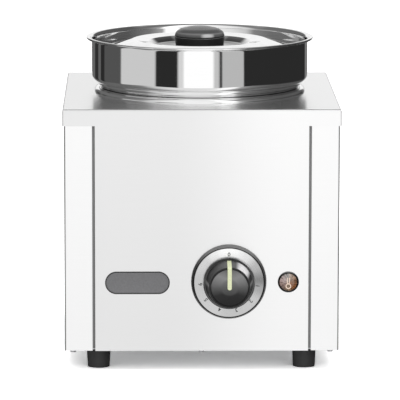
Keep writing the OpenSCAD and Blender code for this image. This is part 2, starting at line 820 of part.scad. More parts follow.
// A domed lens that just fills its bezel
module pilot_lamp_lens() {
  lens_r = lamp_d / 2 - lamp_bezel_w;
  dome_h = 0.6 * lens_h;
  dome_r = (lens_r * lens_r + dome_h * dome_h) / (2 * dome_h);
  color("sienna") placed() on_fascia(lamp_x, lamp_drop) intersection() {
    cylinder(h = lens_h + BITE, r = lens_r);
    translate([0, 0, lens_h - dome_r]) sphere(dome_r);
    translate([0, 0, dome_r]) cube(2 * dome_r, center = true);
  }
}

module pilot_lamp_body() {
  color("ivory") placed() on_fascia(lamp_x, lamp_drop)
    translate([0, 0, -lamp_barrel_len]) cylinder(h = lamp_barrel_len, r = lamp_barrel_r);
}

module pilot_lamp_clip() {
  color("silver") placed() on_fascia(lamp_x, lamp_drop)
    translate([0, 0, -sheet_t - lamp_clip_t])
      ring(lamp_barrel_r + 1.5 * lamp_clip_t, lamp_barrel_r, lamp_clip_t);
}

// A bare badge with a stepped edge
module badge_plate() {
  color("gray") placed() on_fascia(-badge_x, badge_drop) {
    linear_extrude(0.6 * badge_t) stadium(badge_w, badge_h);
    linear_extrude(badge_t) stadium(badge_w - 2 * badge_step, badge_h - 2 * badge_step);
  }
}

// ---- wiring and cable entry -----------------------------------------------------------------

// Three poles, each with one screw for the mains lead and one for the kettle's own
module terminal_block() {
  well_r = pole_pitch / 5.6;
  well_h = 2.4 * well_r;
  color("ivory") placed() translate(block_at) difference() {
    translate([-block_w / 2, -block_d / 2, 0]) cube([block_w, block_d, block_h]);
    for (pole = [-1, 0, 1], row = [-1, 1])
      translate([pole * pole_pitch, row * block_d / 4, block_h - well_h])
        cylinder(h = well_h + BITE, r = well_r);
  }
}

module earth_stud() {
  color("goldenrod") placed() translate([0, panel_rear_y - earth_setback, plate_top_z]) {
    cylinder(h = earth_h, r = foot_screw_r);
    cylinder(h = nut_h, r = 1.8 * foot_screw_r, $fn = 6);
  }
}

// Insulated leads: element to terminal block, and terminal block to thermostat and lamp
module internal_wiring() {
  leg_z = element_z - element_leg;
  leg_x = element_ring_d / 2 * sin(element_open / 2);
  leg_y = -element_ring_d / 2 * cos(element_open / 2);
  block_y = block_at.y - block_d / 2;
  wire_z = block_at.z + block_h / 2;
  low_z = deck_z - dial_drop - 0.37 * thermostat_h;
  high_z = low_z + 2 * wire_bend;
  turn_y = thermostat_back_y + 4.5 * wire_bend;
  lamp_y = front_y + lamp_barrel_len;
  lamp_turn_y = lamp_y + 2.5 * wire_bend;
  lamp_z = deck_z - lamp_drop;
  left = block_at.x - pole_pitch;
  mid = block_at.x;
  right = block_at.x + pole_pitch;
  color("firebrick") placed() {
    lead([[-leg_x, leg_y, leg_z], [-leg_x, leg_y, wire_z], [left, leg_y, wire_z], [left, block_y, wire_z]]);
    lead([[leg_x, leg_y, leg_z], [leg_x, leg_y, low_z], [leg_x, thermostat_back_y, low_z]]);
    lead([[mid, block_y, wire_z], [mid, turn_y, wire_z], [mid, turn_y, high_z],
          [dial_x, turn_y, high_z], [dial_x, thermostat_back_y, high_z]]);
    lead([[right, block_y, wire_z], [right, lamp_turn_y, wire_z],
          [right, lamp_turn_y, lamp_z], [right, lamp_y, lamp_z]]);
  }
}

// The gland's threaded body runs in through the rear panel; outside it has a hexagon and a domed cap
module cable_gland() {
  hex_r = gland_thread_r + gland_hex_w;
  inner_len = sheet_t + 1.8 * gland_nut_t;
  dome_r = gland_thread_r + 0.6 * gland_hex_w;
  dome = rounded_line([
    [gland_thread_r + 0.75 * gland_hex_w, gland_hex_t, 0], [dome_r, gland_len, 3],
    [gland_bore_r, gland_len, 0]
  ]);
  color("dimgray") placed() on_rear(gland_x, base_z + gland_up) difference() {
    union() {
      translate([0, 0, -inner_len]) cylinder(h = inner_len + BITE, r = gland_thread_r);
      cylinder(h = gland_hex_t, r = hex_r, $fn = 6);
      rotate_extrude() polygon(concat(dome, [[gland_bore_r, gland_hex_t]]));
    }
    translate([0, 0, -inner_len - BITE]) cylinder(h = gland_len + inner_len + 2 * BITE, r = gland_bore_r);
  }
}

module gland_nut() {
  color("dimgray") placed() on_rear(gland_x, base_z + gland_up) translate([0, 0, -sheet_t - gland_nut_t])
    hex_nut(gland_thread_r, gland_thread_r + gland_hex_w, gland_nut_t);
}

// ---- pot and lid ----------------------------------------------------------------------------

// The pot's wall from the rim to the centre of the floor, with the shoulder that seats on the collar
module pot() {
  rim_mid = [rim_mid_r, rim_h - rim_bead_r];
  curl = [for (a = [-90 : 15 : 75]) rim_mid + (rim_bead_r - pot_t) * [cos(a), sin(a)]];
  wall = rounded_line([
    [rim_mid_r, flange_h, 0], [pot_r, flange_h, rim_sweep_r], [pot_r, shoulder_h, wall_turn_r],
    [crease_mid_r, crease_h, crease_r], [lower_r, shoulder_foot_h, shoulder_r],
    [lower_r, -pot_depth, pot_corner_r], [0, -pot_depth, 0]
  ]);
  color("silver") placed() translate([0, 0, deck_z])
    rotate_extrude() sheet_strip(concat(curl, wall), -pot_t);
}

module lid_ledge() {
  ledge_h = lid_edge_h - lid_t - rest_gap - ledge_r;
  color("silver") placed() translate([0, 0, deck_z + ledge_h])
    rotate_extrude() translate([ledge_mid_r, 0]) circle(ledge_r);
}

// The lid lies inside the rim: a flat edge, a conical rise, a soft crest and a central dish
module lid() {
  top = rounded_line([
    [lid_r, lid_edge_h, 0], [rise_r, lid_edge_h, 14], [crest_r, crest_z, 14],
    [dish_r, dish_edge_z, 1.5], [dish_r - 2, dish_z, 1], [0, dish_z, 0]
  ]);
  color("silver") placed() translate([0, 0, deck_z]) difference() {
    rotate_extrude() sheet_strip(top, lid_t);
    translate([0, 0, dish_z - 2 * lid_t]) cylinder(h = 4 * lid_t, r = lid_screw_r + hole_gap);
  }
}

module lid_knob() {
  foot_r = lid_knob_foot_d / 2;
  wide_r = lid_knob_d / 2;
  outline = rounded_line([
    [0, lid_knob_h, 0], [0.8 * wide_r, lid_knob_h - 2.6, 8], [wide_r + 0.3, lid_knob_waist_h + 0.6, 1.2],
    [foot_r, 0, 1], [0, 0, 0]
  ]);
  color("dimgray") placed() translate([0, 0, deck_z + dish_z]) difference() {
    rotate_extrude() polygon(outline);
    translate([0, 0, -BITE]) cylinder(h = lid_screw_len + BITE, r = lid_screw_r + hole_gap / 2);
  }
}

module lid_knob_washer() {
  color("silver") placed() translate([0, 0, deck_z + dish_z - lid_t - lid_washer_t])
    ring(3 * lid_screw_r, lid_screw_r + hole_gap, lid_washer_t);
}

module lid_knob_screw() {
  color("silver") placed() translate([0, 0, deck_z + dish_z - lid_t - lid_washer_t])
    rotate([180, 0, 0]) pan_screw(lid_screw_r, lid_screw_len);
}

// ---- drawing --------------------------------------------------------------------------------

top_and_front_panel();
left_side_panel();
right_side_panel();
rear_panel();
base_plate();
foot_front_left();
foot_front_right();
foot_rear_left();
foot_rear_right();
foot_screws();
foot_nuts();
base_screws();
rear_screws();
water_well();
well_insulation();
clamp_stud();
heating_element();
element_clamp_plate();
clamp_nut();
safety_cutout();
thermostat_body();
thermostat_nut();
thermostat_bulb();
thermostat_shaft();
control_knob();
knob_pointer();
dial_plate();
dial_rim();
pilot_lamp_bezel();
pilot_lamp_lens();
pilot_lamp_body();
pilot_lamp_clip();
badge_plate();
terminal_block();
earth_stud();
internal_wiring();
cable_gland();
gland_nut();
pot();
lid_ledge();
lid();
lid_knob();
lid_knob_washer();
lid_knob_screw();
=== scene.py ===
# %% [markdown]
# # A counter-top soup kettle
# A square steel housing holds a heated water well, and a polished round pot with an inset lid stands
# in it. The CAD frame already has every piece at its real size. Here the pieces that are seen get
# smooth turned or folded shapes and finishes, and the light makes the steel read as steel.

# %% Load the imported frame
import json
import math

import bpy
from mathutils import Matrix, Vector


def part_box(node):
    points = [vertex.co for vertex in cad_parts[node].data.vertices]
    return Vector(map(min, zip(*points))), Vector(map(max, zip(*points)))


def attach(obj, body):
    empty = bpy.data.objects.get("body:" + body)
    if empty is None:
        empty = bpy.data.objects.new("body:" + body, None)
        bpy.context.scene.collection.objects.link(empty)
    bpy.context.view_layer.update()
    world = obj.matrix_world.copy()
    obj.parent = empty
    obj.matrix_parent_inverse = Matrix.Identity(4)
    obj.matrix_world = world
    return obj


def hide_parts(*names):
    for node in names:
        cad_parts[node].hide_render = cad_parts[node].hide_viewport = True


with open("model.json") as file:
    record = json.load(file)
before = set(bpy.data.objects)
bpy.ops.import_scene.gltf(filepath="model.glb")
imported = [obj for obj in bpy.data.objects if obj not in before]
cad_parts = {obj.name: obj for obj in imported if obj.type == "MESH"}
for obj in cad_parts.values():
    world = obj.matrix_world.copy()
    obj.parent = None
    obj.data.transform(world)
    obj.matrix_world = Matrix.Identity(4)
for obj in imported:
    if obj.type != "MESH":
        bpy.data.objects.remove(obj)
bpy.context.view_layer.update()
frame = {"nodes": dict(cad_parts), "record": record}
print("pieces in the frame:", len(frame["nodes"]))

# %% [markdown]
# ## Where things are
# The pot's axis, the deck's top and half width and the fascia's face carry everything else, so they
# are read from the frame once. They could be typed in, but then a new size in the CAD would leave the
# looks behind. A millimetre is a named value, because the frame is in metres.

# %% Reference places
MM = 0.001
pot_low, pot_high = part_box("pot")
deck_low, deck_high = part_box("top_and_front_panel")
AXIS_X = (pot_low.x + pot_high.x) / 2
AXIS_Y = (pot_low.y + pot_high.y) / 2
DECK_Z = deck_high.z
FACE_Y = deck_low.y
HALF_WIDTH = (deck_high.x - deck_low.x) / 2
print("deck top at", round(DECK_Z / MM, 1), "mm, half width", round(HALF_WIDTH / MM, 1), "mm")

# %% [markdown]
# ## Camera
# The kettle is seen from a little above and slightly left of its middle with a long lens, as a
# catalogue shows it. The camera stands four metres away, so verticals stay nearly parallel. A Track
# To constraint would aim it, but it can't hold a slight roll, so three angles give its axes and these
# give its rotation.

# %% Camera
camera_data = bpy.data.cameras.new("catalogue_camera")
camera = bpy.data.objects.new("catalogue_camera", camera_data)
bpy.context.scene.collection.objects.link(camera)
bpy.context.scene.camera = camera

CAMERA_FROM_DECK = Vector((-68.08, -4104.45, 526.93)) * MM
YAW, PITCH, ROLL = 0.01674, 0.15734, 0.00137
forward = Vector((math.sin(YAW) * math.cos(PITCH), math.cos(YAW) * math.cos(PITCH), -math.sin(PITCH)))
level_right = Vector((math.cos(YAW), -math.sin(YAW), 0))
level_up = level_right.cross(forward)
right = level_right * math.cos(ROLL) + level_up * math.sin(ROLL)
up = level_up * math.cos(ROLL) - level_right * math.sin(ROLL)
camera.location = Vector((AXIS_X, AXIS_Y, DECK_Z)) + CAMERA_FROM_DECK
camera.rotation_mode = "QUATERNION"
camera.rotation_quaternion = Matrix((right, up, -forward)).transposed().to_quaternion()
camera_data.sensor_width = 36
camera_data.lens = 333.8
camera_data.clip_end = 50
bpy.context.scene.view_settings.view_transform = "Standard"
print("camera", [round(v, 3) for v in camera.location])

# %% [markdown]
# ## Helpers for node trees
# The world and every finish are node trees. They could be put together by hand in the shader editor.
# One short helper for each kind of step does the same in a line: a sum, a new range, a colour ramp or
# a mix, so that a tree reads from top to bottom. A step takes plain values or other nodes' outputs.

# %% Node helpers
NODE_STEP = 300


def add_node(tree, kind, **settings):
    """A new node, placed below the one before it, so that none hides another."""
    node = tree.nodes.new(kind)
    node.location = (0, -NODE_STEP * len(tree.nodes))
    for key, value in settings.items():
        setattr(node, key, value)
    return node


def feed(tree, value, socket):
    """Links another node's output to a socket, or sets the socket to a plain value."""
    if isinstance(value, bpy.types.NodeSocket):
        tree.links.new(value, socket)
    else:
        socket.default_value = value


def math_node(tree, operation, *values, clamp=False):
    node = add_node(tree, "ShaderNodeMath", operation=operation, use_clamp=clamp)
    for value, socket in zip(values, node.inputs):
        feed(tree, value, socket)
    return node.outputs[0]


def distance(tree, a, b):
    """The length of a flat vector with the parts a and b."""
    squares = math_node(tree, "ADD", math_node(tree, "MULTIPLY", a, a), math_node(tree, "MULTIPLY", b, b))
    return math_node(tree, "SQRT", squares)


def parts(tree, vector):
    """The X, Y and Z of a vector."""
    split = add_node(tree, "ShaderNodeSeparateXYZ")
    tree.links.new(vector, split.inputs[0])
    return split.outputs

# %% Ranges, ramps and mixes
def map_range(tree, value, low, high, to_low=0.0, to_high=1.0, smooth=False):
    """The value carried from one range to another, and held at its ends."""
    span = add_node(tree, "ShaderNodeMapRange", interpolation_type="SMOOTHSTEP" if smooth else "LINEAR")
    for key, number in zip(("From Min", "From Max", "To Min", "To Max"), (low, high, to_low, to_high)):
        span.inputs[key].default_value = number
    tree.links.new(value, span.inputs["Value"])
    return span.outputs["Result"]


def colour_ramp(tree, factor, stops, interpolation="LINEAR"):
    """A colour that follows the factor through stops of (position, colour)."""
    node = add_node(tree, "ShaderNodeValToRGB")
    ramp = node.color_ramp
    ramp.interpolation = interpolation
    while len(ramp.elements) > 1:
        ramp.elements.remove(ramp.elements[-1])
    ramp.elements[0].position = stops[0][0]
    ramp.elements[0].color = (*stops[0][1], 1)
    for position, colour in stops[1:]:
        element = ramp.elements.new(position)
        element.color = (*colour, 1)
    tree.links.new(factor, node.inputs[0])
    return node.outputs[0]


def mixed(tree, factor, first, second, data_type="RGBA"):
    """The first value where the factor is 0, and the second one where it is 1."""
    node = add_node(tree, "ShaderNodeMix", data_type=data_type)
    values_at, result_at = (2, 0) if data_type == "FLOAT" else (6, 2)
    feed(tree, factor, node.inputs[0])
    feed(tree, first, node.inputs[values_at])
    feed(tree, second, node.inputs[values_at + 1])
    return node.outputs[result_at]


def grey(tone):
    return (tone, tone, tone, 1)

# %% [markdown]
# ## Light
# Polished steel shows only what stands round it. A studio gives it white screens with black flags
# between them. Real planes with lamps behind them would do this, but each would need its own place
# and size. So the world is built instead: one ramp holds the brightness of the screens and flags by
# compass direction, as low reflections see them, a second one takes over above them, and the sky
# behind is pale under a dark ceiling.

# %% Screens, flags and sky
# Screens and flags: (compass angle where it starts, brightness). Zero faces the camera, minus is left.
SCREENS = [
    (-180, 0.14), (-152, 0.03), (-140, 0.13), (-133, 0.025), (-124, 0.09), (-94, 0.64), (-49, 0.025),
    (-24, 0.72), (-18, 1.12), (14, 0.6), (20, 0.04), (23, 0.52), (47, 0.025), (153, 0.2)
]
BLEND_DEG = 1.2
# Over them: (compass angle, brightness), which takes over between these sines of elevation
UPPER = [
    (-180, 0.13), (-90, 0.17), (-68, 0.26), (-58, 0.66), (-40, 0.90), (-24, 0.98), (20, 0.98),
    (27, 1.45), (39, 1.45), (45, 0.42), (60, 0.20), (90, 0.10), (180, 0.10)
]
UPPER_FROM, UPPER_TO = 0.03, 0.16
# The pale backdrop behind the kettle stands from this compass angle on, on both sides
BACKDROP_DEG, BACKDROP_GAIN = 162, 60.0
# The sky behind: (sine of its elevation, brightness), with a dark ceiling high up
SKY = [(0, 0.96), (0.78, 0.96), (0.86, 0.22), (1.0, 0.16)]
# Gain and offset of the blends at the horizon and under the ceiling
HORIZON_RAMP, CEILING_RAMP = (12.0, 0.2), (10.0, -7.8)
# Even tone of the room, as matt surfaces see it
ROOM_TONE = 0.8
print("screens and flags:", len(SCREENS))

# %% Ramps by compass direction
def compass_ramp(tree, share, stops):
    return colour_ramp(tree, share, [((angle + 180) / 360, (level,) * 3) for angle, level in stops])


def hard_edged(bands, blend):
    """Bands of even brightness as stops, with a narrow blend between neighbours."""
    ends = [start for start, level in bands[1:]] + [180]
    return [(angle, level) for (start, level), end in zip(bands, ends)
            for angle in (start + blend / 2, end - blend / 2)]

# %% What stands round the kettle
def surroundings(tree, share, upward):
    """The screens and flags low down, and the softer band that takes over above them."""
    band = map_range(tree, upward, UPPER_FROM, UPPER_TO)
    screens = compass_ramp(tree, share, hard_edged(SCREENS, BLEND_DEG))
    return mixed(tree, band, screens, compass_ramp(tree, share, UPPER))


def sky_cover(tree, share, upward, backward):
    """1 where the backdrop or the ceiling behind the kettle covers the surroundings, else 0."""
    above = math_node(tree, "MULTIPLY_ADD", upward, *HORIZON_RAMP, clamp=True)
    from_front = math_node(tree, "ABSOLUTE", math_node(tree, "SUBTRACT", share, 0.5))
    start = 0.5 - BACKDROP_GAIN * BACKDROP_DEG / 360
    behind = math_node(tree, "MULTIPLY_ADD", from_front, BACKDROP_GAIN, start, clamp=True)
    backdrop = math_node(tree, "MULTIPLY", above, behind)
    overhead = math_node(tree, "MULTIPLY_ADD", upward, *CEILING_RAMP, clamp=True)
    rear = math_node(tree, "MULTIPLY_ADD", backward, *HORIZON_RAMP, clamp=True)
    return math_node(tree, "MAXIMUM", backdrop, math_node(tree, "MULTIPLY", overhead, rear))

# %% Studio world
def studio_world():
    world = bpy.data.worlds.new("studio")
    bpy.context.scene.world = world
    world.use_nodes = True
    tree = world.node_tree
    tree.nodes.clear()
    x, y, z = parts(tree, add_node(tree, "ShaderNodeTexCoord").outputs["Generated"])
    compass = math_node(tree, "ARCTAN2", x, math_node(tree, "MULTIPLY", y, -1.0))
    share = math_node(tree, "MULTIPLY_ADD", compass, 0.5 / math.pi, 0.5)
    sky = colour_ramp(tree, z, [(height, (level,) * 3) for height, level in SKY])
    room = mixed(tree, sky_cover(tree, share, z, y), surroundings(tree, share, z), sky)
    path = add_node(tree, "ShaderNodeLightPath")
    lit = mixed(tree, path.outputs["Is Glossy Ray"], grey(ROOM_TONE), room)
    direct = math_node(tree, "MAXIMUM", path.outputs["Is Camera Ray"], path.outputs["Is Transmission Ray"])
    background = add_node(tree, "ShaderNodeBackground")
    tree.links.new(mixed(tree, direct, lit, grey(1)), background.inputs[0])
    tree.links.new(background.outputs[0], add_node(tree, "ShaderNodeOutputWorld").inputs[0])
    return world


studio_world()
print("the world mirrors as the studio and lights evenly with a tone of", ROOM_TONE)

# %% [markdown]
# ## Soft lamps
# Matt and rough surfaces don't mirror the screens. They are lit by the even grey-white world and by
# two large area lamps, which stand for a softbox overhead and one at the front right. A sun would
# throw a hard shadow. The lamps are hidden from reflections, because the world already holds all that
# the steel mirrors.

# %% Soft lamps
def soft_lamp(name, place, aim, size, watts):
    data = bpy.data.lights.new(name, "AREA")
    data.shape = "RECTANGLE"
    data.size, data.size_y = size
    data.energy = watts
    lamp = bpy.data.objects.new(name, data)
    bpy.context.scene.collection.objects.link(lamp)
    lamp.location = place
    lamp.rotation_mode = "QUATERNION"
    lamp.rotation_quaternion = (Vector(aim) - Vector(place)).to_track_quat("-Z", "Y")
    lamp.visible_glossy = False
    return lamp


soft_lamp("overhead_softbox", (0.1, -0.3, 1.9), (0, 0, 0.1), (1.6, 1.6), 14)
soft_lamp("front_softbox", (0.9, -2.2, 1.1), (0, 0, 0.2), (1.2, 1.2), 12)
print("lamps:", len(bpy.data.lights))

# %% [markdown]
# ## Floor
# The kettle stands on a plain white sweep, which keeps the soft shadow under the feet. Its edge would
# show as a grey line, so it adds a little light of its own to what the camera sees, and beyond the
# shadow it is as white as the background. Polished steel looks past it to the screens.

# %% Floor paint
# Tones of the floor's paint, as other surfaces and as the camera see it, and the light it adds
FLOOR_TONE, FLOOR_TONE_SEEN, FLOOR_GLOW = 0.8, 1.95, 0.09


def sweep_paint():
    material = bpy.data.materials.new("white_sweep")
    material.use_nodes = True
    tree = material.node_tree
    tree.nodes.clear()
    seen = add_node(tree, "ShaderNodeLightPath").outputs["Is Camera Ray"]
    diffuse = add_node(tree, "ShaderNodeBsdfDiffuse")
    tree.links.new(mixed(tree, seen, grey(FLOOR_TONE), grey(FLOOR_TONE_SEEN)), diffuse.inputs["Color"])
    glow = add_node(tree, "ShaderNodeEmission")
    tree.links.new(math_node(tree, "MULTIPLY", seen, FLOOR_GLOW), glow.inputs["Strength"])
    both = add_node(tree, "ShaderNodeAddShader")
    tree.links.new(diffuse.outputs[0], both.inputs[0])
    tree.links.new(glow.outputs[0], both.inputs[1])
    tree.links.new(both.outputs[0], add_node(tree, "ShaderNodeOutputMaterial").inputs[0])
    return material

# %% Floor
FLOOR_SIZE, FLOOR_MIDDLE = 30, (0, 8, 0)
bpy.ops.object.select_all(action="DESELECT")
bpy.ops.mesh.primitive_plane_add(size=FLOOR_SIZE, location=FLOOR_MIDDLE)
floor = bpy.context.active_object
floor.name = "floor"
bpy.ops.object.transform_apply(location=True, rotation=True, scale=True)
floor.data.materials.append(sweep_paint())
floor.visible_glossy = False
print("floor of", FLOOR_SIZE, "m")

# %% [markdown]
# ## Finishes
# Each finish is one short function. Picture textures would need every piece unwrapped, so the marks
# are noise instead, and all of it reads Object coordinates. These are metres in the shared frame
# here, so a brush mark has its real length. Steel is fully metallic; its look comes from roughness, a
# fine stretched noise for the brushing, and what it reflects.

# %% Shared parts of a finish
# Nearly all of a noise lies between these values
NOISE_LOW, NOISE_HIGH = 0.3, 0.7


def new_finish(name, colour, metallic=0.0, roughness=0.5):
    material = bpy.data.materials.new(name)
    material.use_nodes = True
    tree = material.node_tree
    shader = tree.nodes["Principled BSDF"]
    shader.inputs["Base Color"].default_value = (*colour, 1)
    shader.inputs["Metallic"].default_value = metallic
    shader.inputs["Roughness"].default_value = roughness
    return material, tree, shader


def object_place(tree):
    """Where a point is in the shared frame, as X, Y and Z in metres."""
    return parts(tree, add_node(tree, "ShaderNodeTexCoord").outputs["Object"])


def facing(tree, normal="Normal"):
    """Which way the surface faces, as X, Y and Z."""
    return parts(tree, add_node(tree, "ShaderNodeNewGeometry").outputs[normal])

# %% Noise, tone and relief
def noise_at(tree, place, detail):
    noise = add_node(tree, "ShaderNodeTexNoise")
    noise.inputs["Scale"].default_value = 1.0
    noise.inputs["Detail"].default_value = detail
    tree.links.new(place, noise.inputs["Vector"])
    return noise.outputs["Fac"]


def stretched_noise(tree, scale, detail=4.0):
    """Noise whose marks are long where the scale is small; scale is in marks a metre."""
    mapping = add_node(tree, "ShaderNodeMapping")
    mapping.inputs["Scale"].default_value = scale
    tree.links.new(add_node(tree, "ShaderNodeTexCoord").outputs["Object"], mapping.inputs[0])
    return noise_at(tree, mapping.outputs[0], detail)


def vary(tree, factor, low, high, socket):
    """Drives a number on the shader between low and high."""
    tree.links.new(map_range(tree, factor, NOISE_LOW, NOISE_HIGH, low, high), socket)


def tint(tree, factor, dark, light, socket):
    """Drives a colour on the shader between two close tones."""
    tree.links.new(colour_ramp(tree, factor, [(NOISE_LOW, dark), (NOISE_HIGH, light)]), socket)


def scaled(tree, colour, factor):
    """A colour made darker or lighter by a factor."""
    node = add_node(tree, "ShaderNodeVectorMath", operation="SCALE")
    tree.links.new(colour, node.inputs[0])
    tree.links.new(factor, node.inputs["Scale"])
    return node.outputs[0]


def relief(tree, factor, shader, depth):
    """A height in metres that bends the light on the surface."""
    bump = add_node(tree, "ShaderNodeBump")
    bump.inputs["Distance"].default_value = depth
    bump.inputs["Strength"].default_value = 1.0
    tree.links.new(factor, bump.inputs["Height"])
    tree.links.new(bump.outputs[0], shader.inputs["Normal"])

# %% [markdown]
# ## Sheet steel
# The housing and the well are brushed sheet, whose fine parallel scratches blur what the
# steel mirrors. One even grey would look like plastic. So the noise is stretched along the scratches.
# The housing's tone also carries painted shade: it is darker to the left and near the floor, as if
# light from one side left it, and the outer edges of its front faces are painted darker, where the
# sheet turns away from the light.

# %% Tone of an upright panel
# Where a panel's painted shade fades from left to right and from the floor to the deck, and its share low
# down
DRIFT_LEFT, DRIFT_RIGHT = -40 * MM, 100 * MM
DRIFT_LOW, DRIFT_HIGH, SHARE_LOW = 40 * MM, 270 * MM, 0.94
# Sines of the slope between which a face passes from the side to the front
FRONT_FROM, FRONT_TO = 0.4, 0.6
# Width and tone of a panel's outer edge, painted darker as shade, and how far that blends into the face
FRONT_EDGE, SIDE_EDGE, EDGE_BLEND = (1.1 * MM, 0.45), (3.2 * MM, 0.22), 0.2 * MM


def wall_tone(tree, place, tones, edge, normal):
    """An upright face's tone, with painted shade to the left, low down and at its edge (width, tone)."""
    across = map_range(tree, place["X"], DRIFT_LEFT, DRIFT_RIGHT, *tones, smooth=True)
    upward = map_range(tree, place["Z"], DRIFT_LOW, DRIFT_HIGH, SHARE_LOW, 1.0)
    wall = math_node(tree, "MULTIPLY", across, upward)
    edge_w, edge_tone = edge
    starts = HALF_WIDTH - edge_w
    from_middle = math_node(tree, "ABSOLUTE", place["X"])
    outward = map_range(tree, from_middle, starts - EDGE_BLEND, starts + EDGE_BLEND)
    frontal = map_range(tree, math_node(tree, "ABSOLUTE", normal["Y"]), FRONT_FROM, FRONT_TO)
    on_edge = math_node(tree, "MULTIPLY", outward, frontal)
    return math_node(tree, "MULTIPLY", wall, map_range(tree, on_edge, 0, 1, 1, edge_tone))

# %% Sheet steel
# Sines of the slope between which a face passes from upright to level
LEVEL_FROM, LEVEL_TO = 0.6, 0.98
# Grain in marks a metre: long across the panel, and very fine from the floor up
PANEL_GRAIN = (20, 20, 2500)


def brushed_steel(name, tone, roughness, grain, depth):
    material, tree, shader = new_finish(name, (tone,) * 3, 1.0, roughness)
    marks = stretched_noise(tree, grain)
    vary(tree, marks, roughness - 0.04, roughness + 0.05, shader.inputs["Roughness"])
    tint(tree, marks, (tone * 0.97,) * 3, (min(tone * 1.02, 1.0),) * 3, shader.inputs["Base Color"])
    relief(tree, marks, shader, depth)
    return material


def panel_steel(name, wall_tones, deck_tones, edge, roughness, deck_roughness):
    """Brushed sheet with painted shade from left to right, its own on upright and on level, smoother faces.
    """
    material, tree, shader = new_finish(name, (wall_tones[0],) * 3, 1.0, roughness)
    marks = stretched_noise(tree, PANEL_GRAIN)
    relief(tree, marks, shader, 2e-6)
    place = object_place(tree)
    normal = facing(tree, "True Normal")
    level = map_range(tree, normal["Z"], LEVEL_FROM, LEVEL_TO)
    wall = wall_tone(tree, place, wall_tones, edge, normal)
    deck = map_range(tree, place["X"], -HALF_WIDTH, HALF_WIDTH, *deck_tones)
    tone = mixed(tree, level, wall, deck, "FLOAT")
    grainy = math_node(tree, "MULTIPLY_ADD", marks, 0.04, 0.98)
    tree.links.new(math_node(tree, "MULTIPLY", tone, grainy), shader.inputs["Base Color"])
    tree.links.new(map_range(tree, level, 0, 1, roughness, deck_roughness), shader.inputs["Roughness"])
    return material

# %% [markdown]
# ## Polished steel
# The pot is buffed until it mirrors the studio, so it needs only a low roughness and the faint rings
# that buffing on a lathe leaves. The lid is finished the same way, but its dish is painted darker, a
# painted reflection of the dark ceiling it looks up at. A painted mask could say where, but the dish is
# round, so a ramp that follows the distance from the pot's axis does it without one.

# %% Polished steel
# The lid's tone by its distance from the axis, in millimetres, darker in the dish as painted reflection
LID_TONES = [(0, 0.30), (30, 0.26), (46, 0.22), (52, 0.40), (57, 0.92), (120, 0.92)]


def polished_steel(name, tone, roughness):
    """Mirror steel with the faint turned rings that polishing on a lathe leaves."""
    material, tree, shader = new_finish(name, (tone,) * 3, 1.0, roughness)
    marks = stretched_noise(tree, (60, 60, 900), 2.0)
    vary(tree, marks, roughness * 0.6, roughness * 1.6, shader.inputs["Roughness"])
    tint(tree, marks, (tone * 0.985,) * 3, (tone,) * 3, shader.inputs["Base Color"])
    return material


def dished_steel(name, stops, roughness):
    """Mirror steel whose tone, with painted reflection, follows the distance from the pot's axis in (mm,
    tone).
    """
    material, tree, shader = new_finish(name, (stops[-1][1],) * 3, 1.0, roughness)
    marks = stretched_noise(tree, (90, 90, 90), 3.0)
    vary(tree, marks, roughness * 0.6, roughness * 1.6, shader.inputs["Roughness"])
    place = object_place(tree)
    across = math_node(tree, "SUBTRACT", place["X"], AXIS_X)
    along = math_node(tree, "SUBTRACT", place["Y"], AXIS_Y)
    reach = stops[-1][0]
    share = math_node(tree, "MULTIPLY", distance(tree, across, along), 1 / (reach * MM), clamp=True)
    tone = colour_ramp(tree, share, [(radius / reach, (tone,) * 3) for radius, tone in stops])
    grainy = math_node(tree, "MULTIPLY_ADD", marks, 0.24, 0.88)
    tree.links.new(scaled(tree, tone, grainy), shader.inputs["Base Color"])
    return material

# %% [markdown]
# ## The dial's metal and the lamp's lens
# Both are round, with a pattern that runs round them or outwards: the dial is brushed in circles, and
# the light and dark fans that light opens on such brushing are painted into its tone; the lens is
# moulded in rays, and its streaks and pale upper left are painted too. Straight noise can't follow a
# circle. So the angle and the radius are worked out first, and the noise is stretched along one of them.

# %% Round fronts
def round_front(tree, piece):
    """The angle round a front-facing round piece, as a share of a turn from the top, and the radius."""
    low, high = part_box(piece)
    place = object_place(tree)
    across = math_node(tree, "SUBTRACT", place["X"], (low.x + high.x) / 2)
    upward = math_node(tree, "SUBTRACT", place["Z"], (low.z + high.z) / 2)
    turn = math_node(tree, "MULTIPLY_ADD", math_node(tree, "ARCTAN2", across, upward), 0.5 / math.pi, 0.5)
    return turn, distance(tree, across, upward)


def angle_ramp(tree, turn, stops):
    """A colour by the angle in degrees from the top, minus being to the left."""
    return colour_ramp(tree, turn, [((angle + 180) / 360, colour) for angle, colour in stops], "EASE")


def ringed_noise(tree, turn, radius, around, outward, detail=3.0):
    """Noise in polar form: marks round the piece when outward is large, rays when around is large."""
    place = add_node(tree, "ShaderNodeCombineXYZ")
    tree.links.new(math_node(tree, "MULTIPLY", turn, around), place.inputs[0])
    tree.links.new(math_node(tree, "MULTIPLY", radius, outward), place.inputs[1])
    return noise_at(tree, place.outputs[0], detail)

# %% Spun dial and rayed lens
# Painted sheen and tones by the angle from the top, minus being to the left
DIAL_PAINTED_SHEEN = [
    (-180, 0.55), (-150, 0.62), (-90, 0.56), (-48, 0.66), (-28, 0.85), (-10, 1.0), (10, 0.98), (34, 0.78),
    (58, 0.50), (85, 0.26), (102, 0.42), (125, 0.60), (180, 0.55)
]
# Amber and brown lower down and to the right; the paler, greyer upper left and top are painted highlight
LENS_TONES_AND_HIGHLIGHT = [
    (-180, (0.22, 0.14, 0.08)), (-125, (0.24, 0.15, 0.12)), (-60, (0.48, 0.37, 0.35)),
    (-10, (0.30, 0.28, 0.27)), (30, (0.36, 0.26, 0.20)), (80, (0.22, 0.11, 0.06)),
    (130, (0.24, 0.09, 0.03)), (180, (0.22, 0.14, 0.08))
]


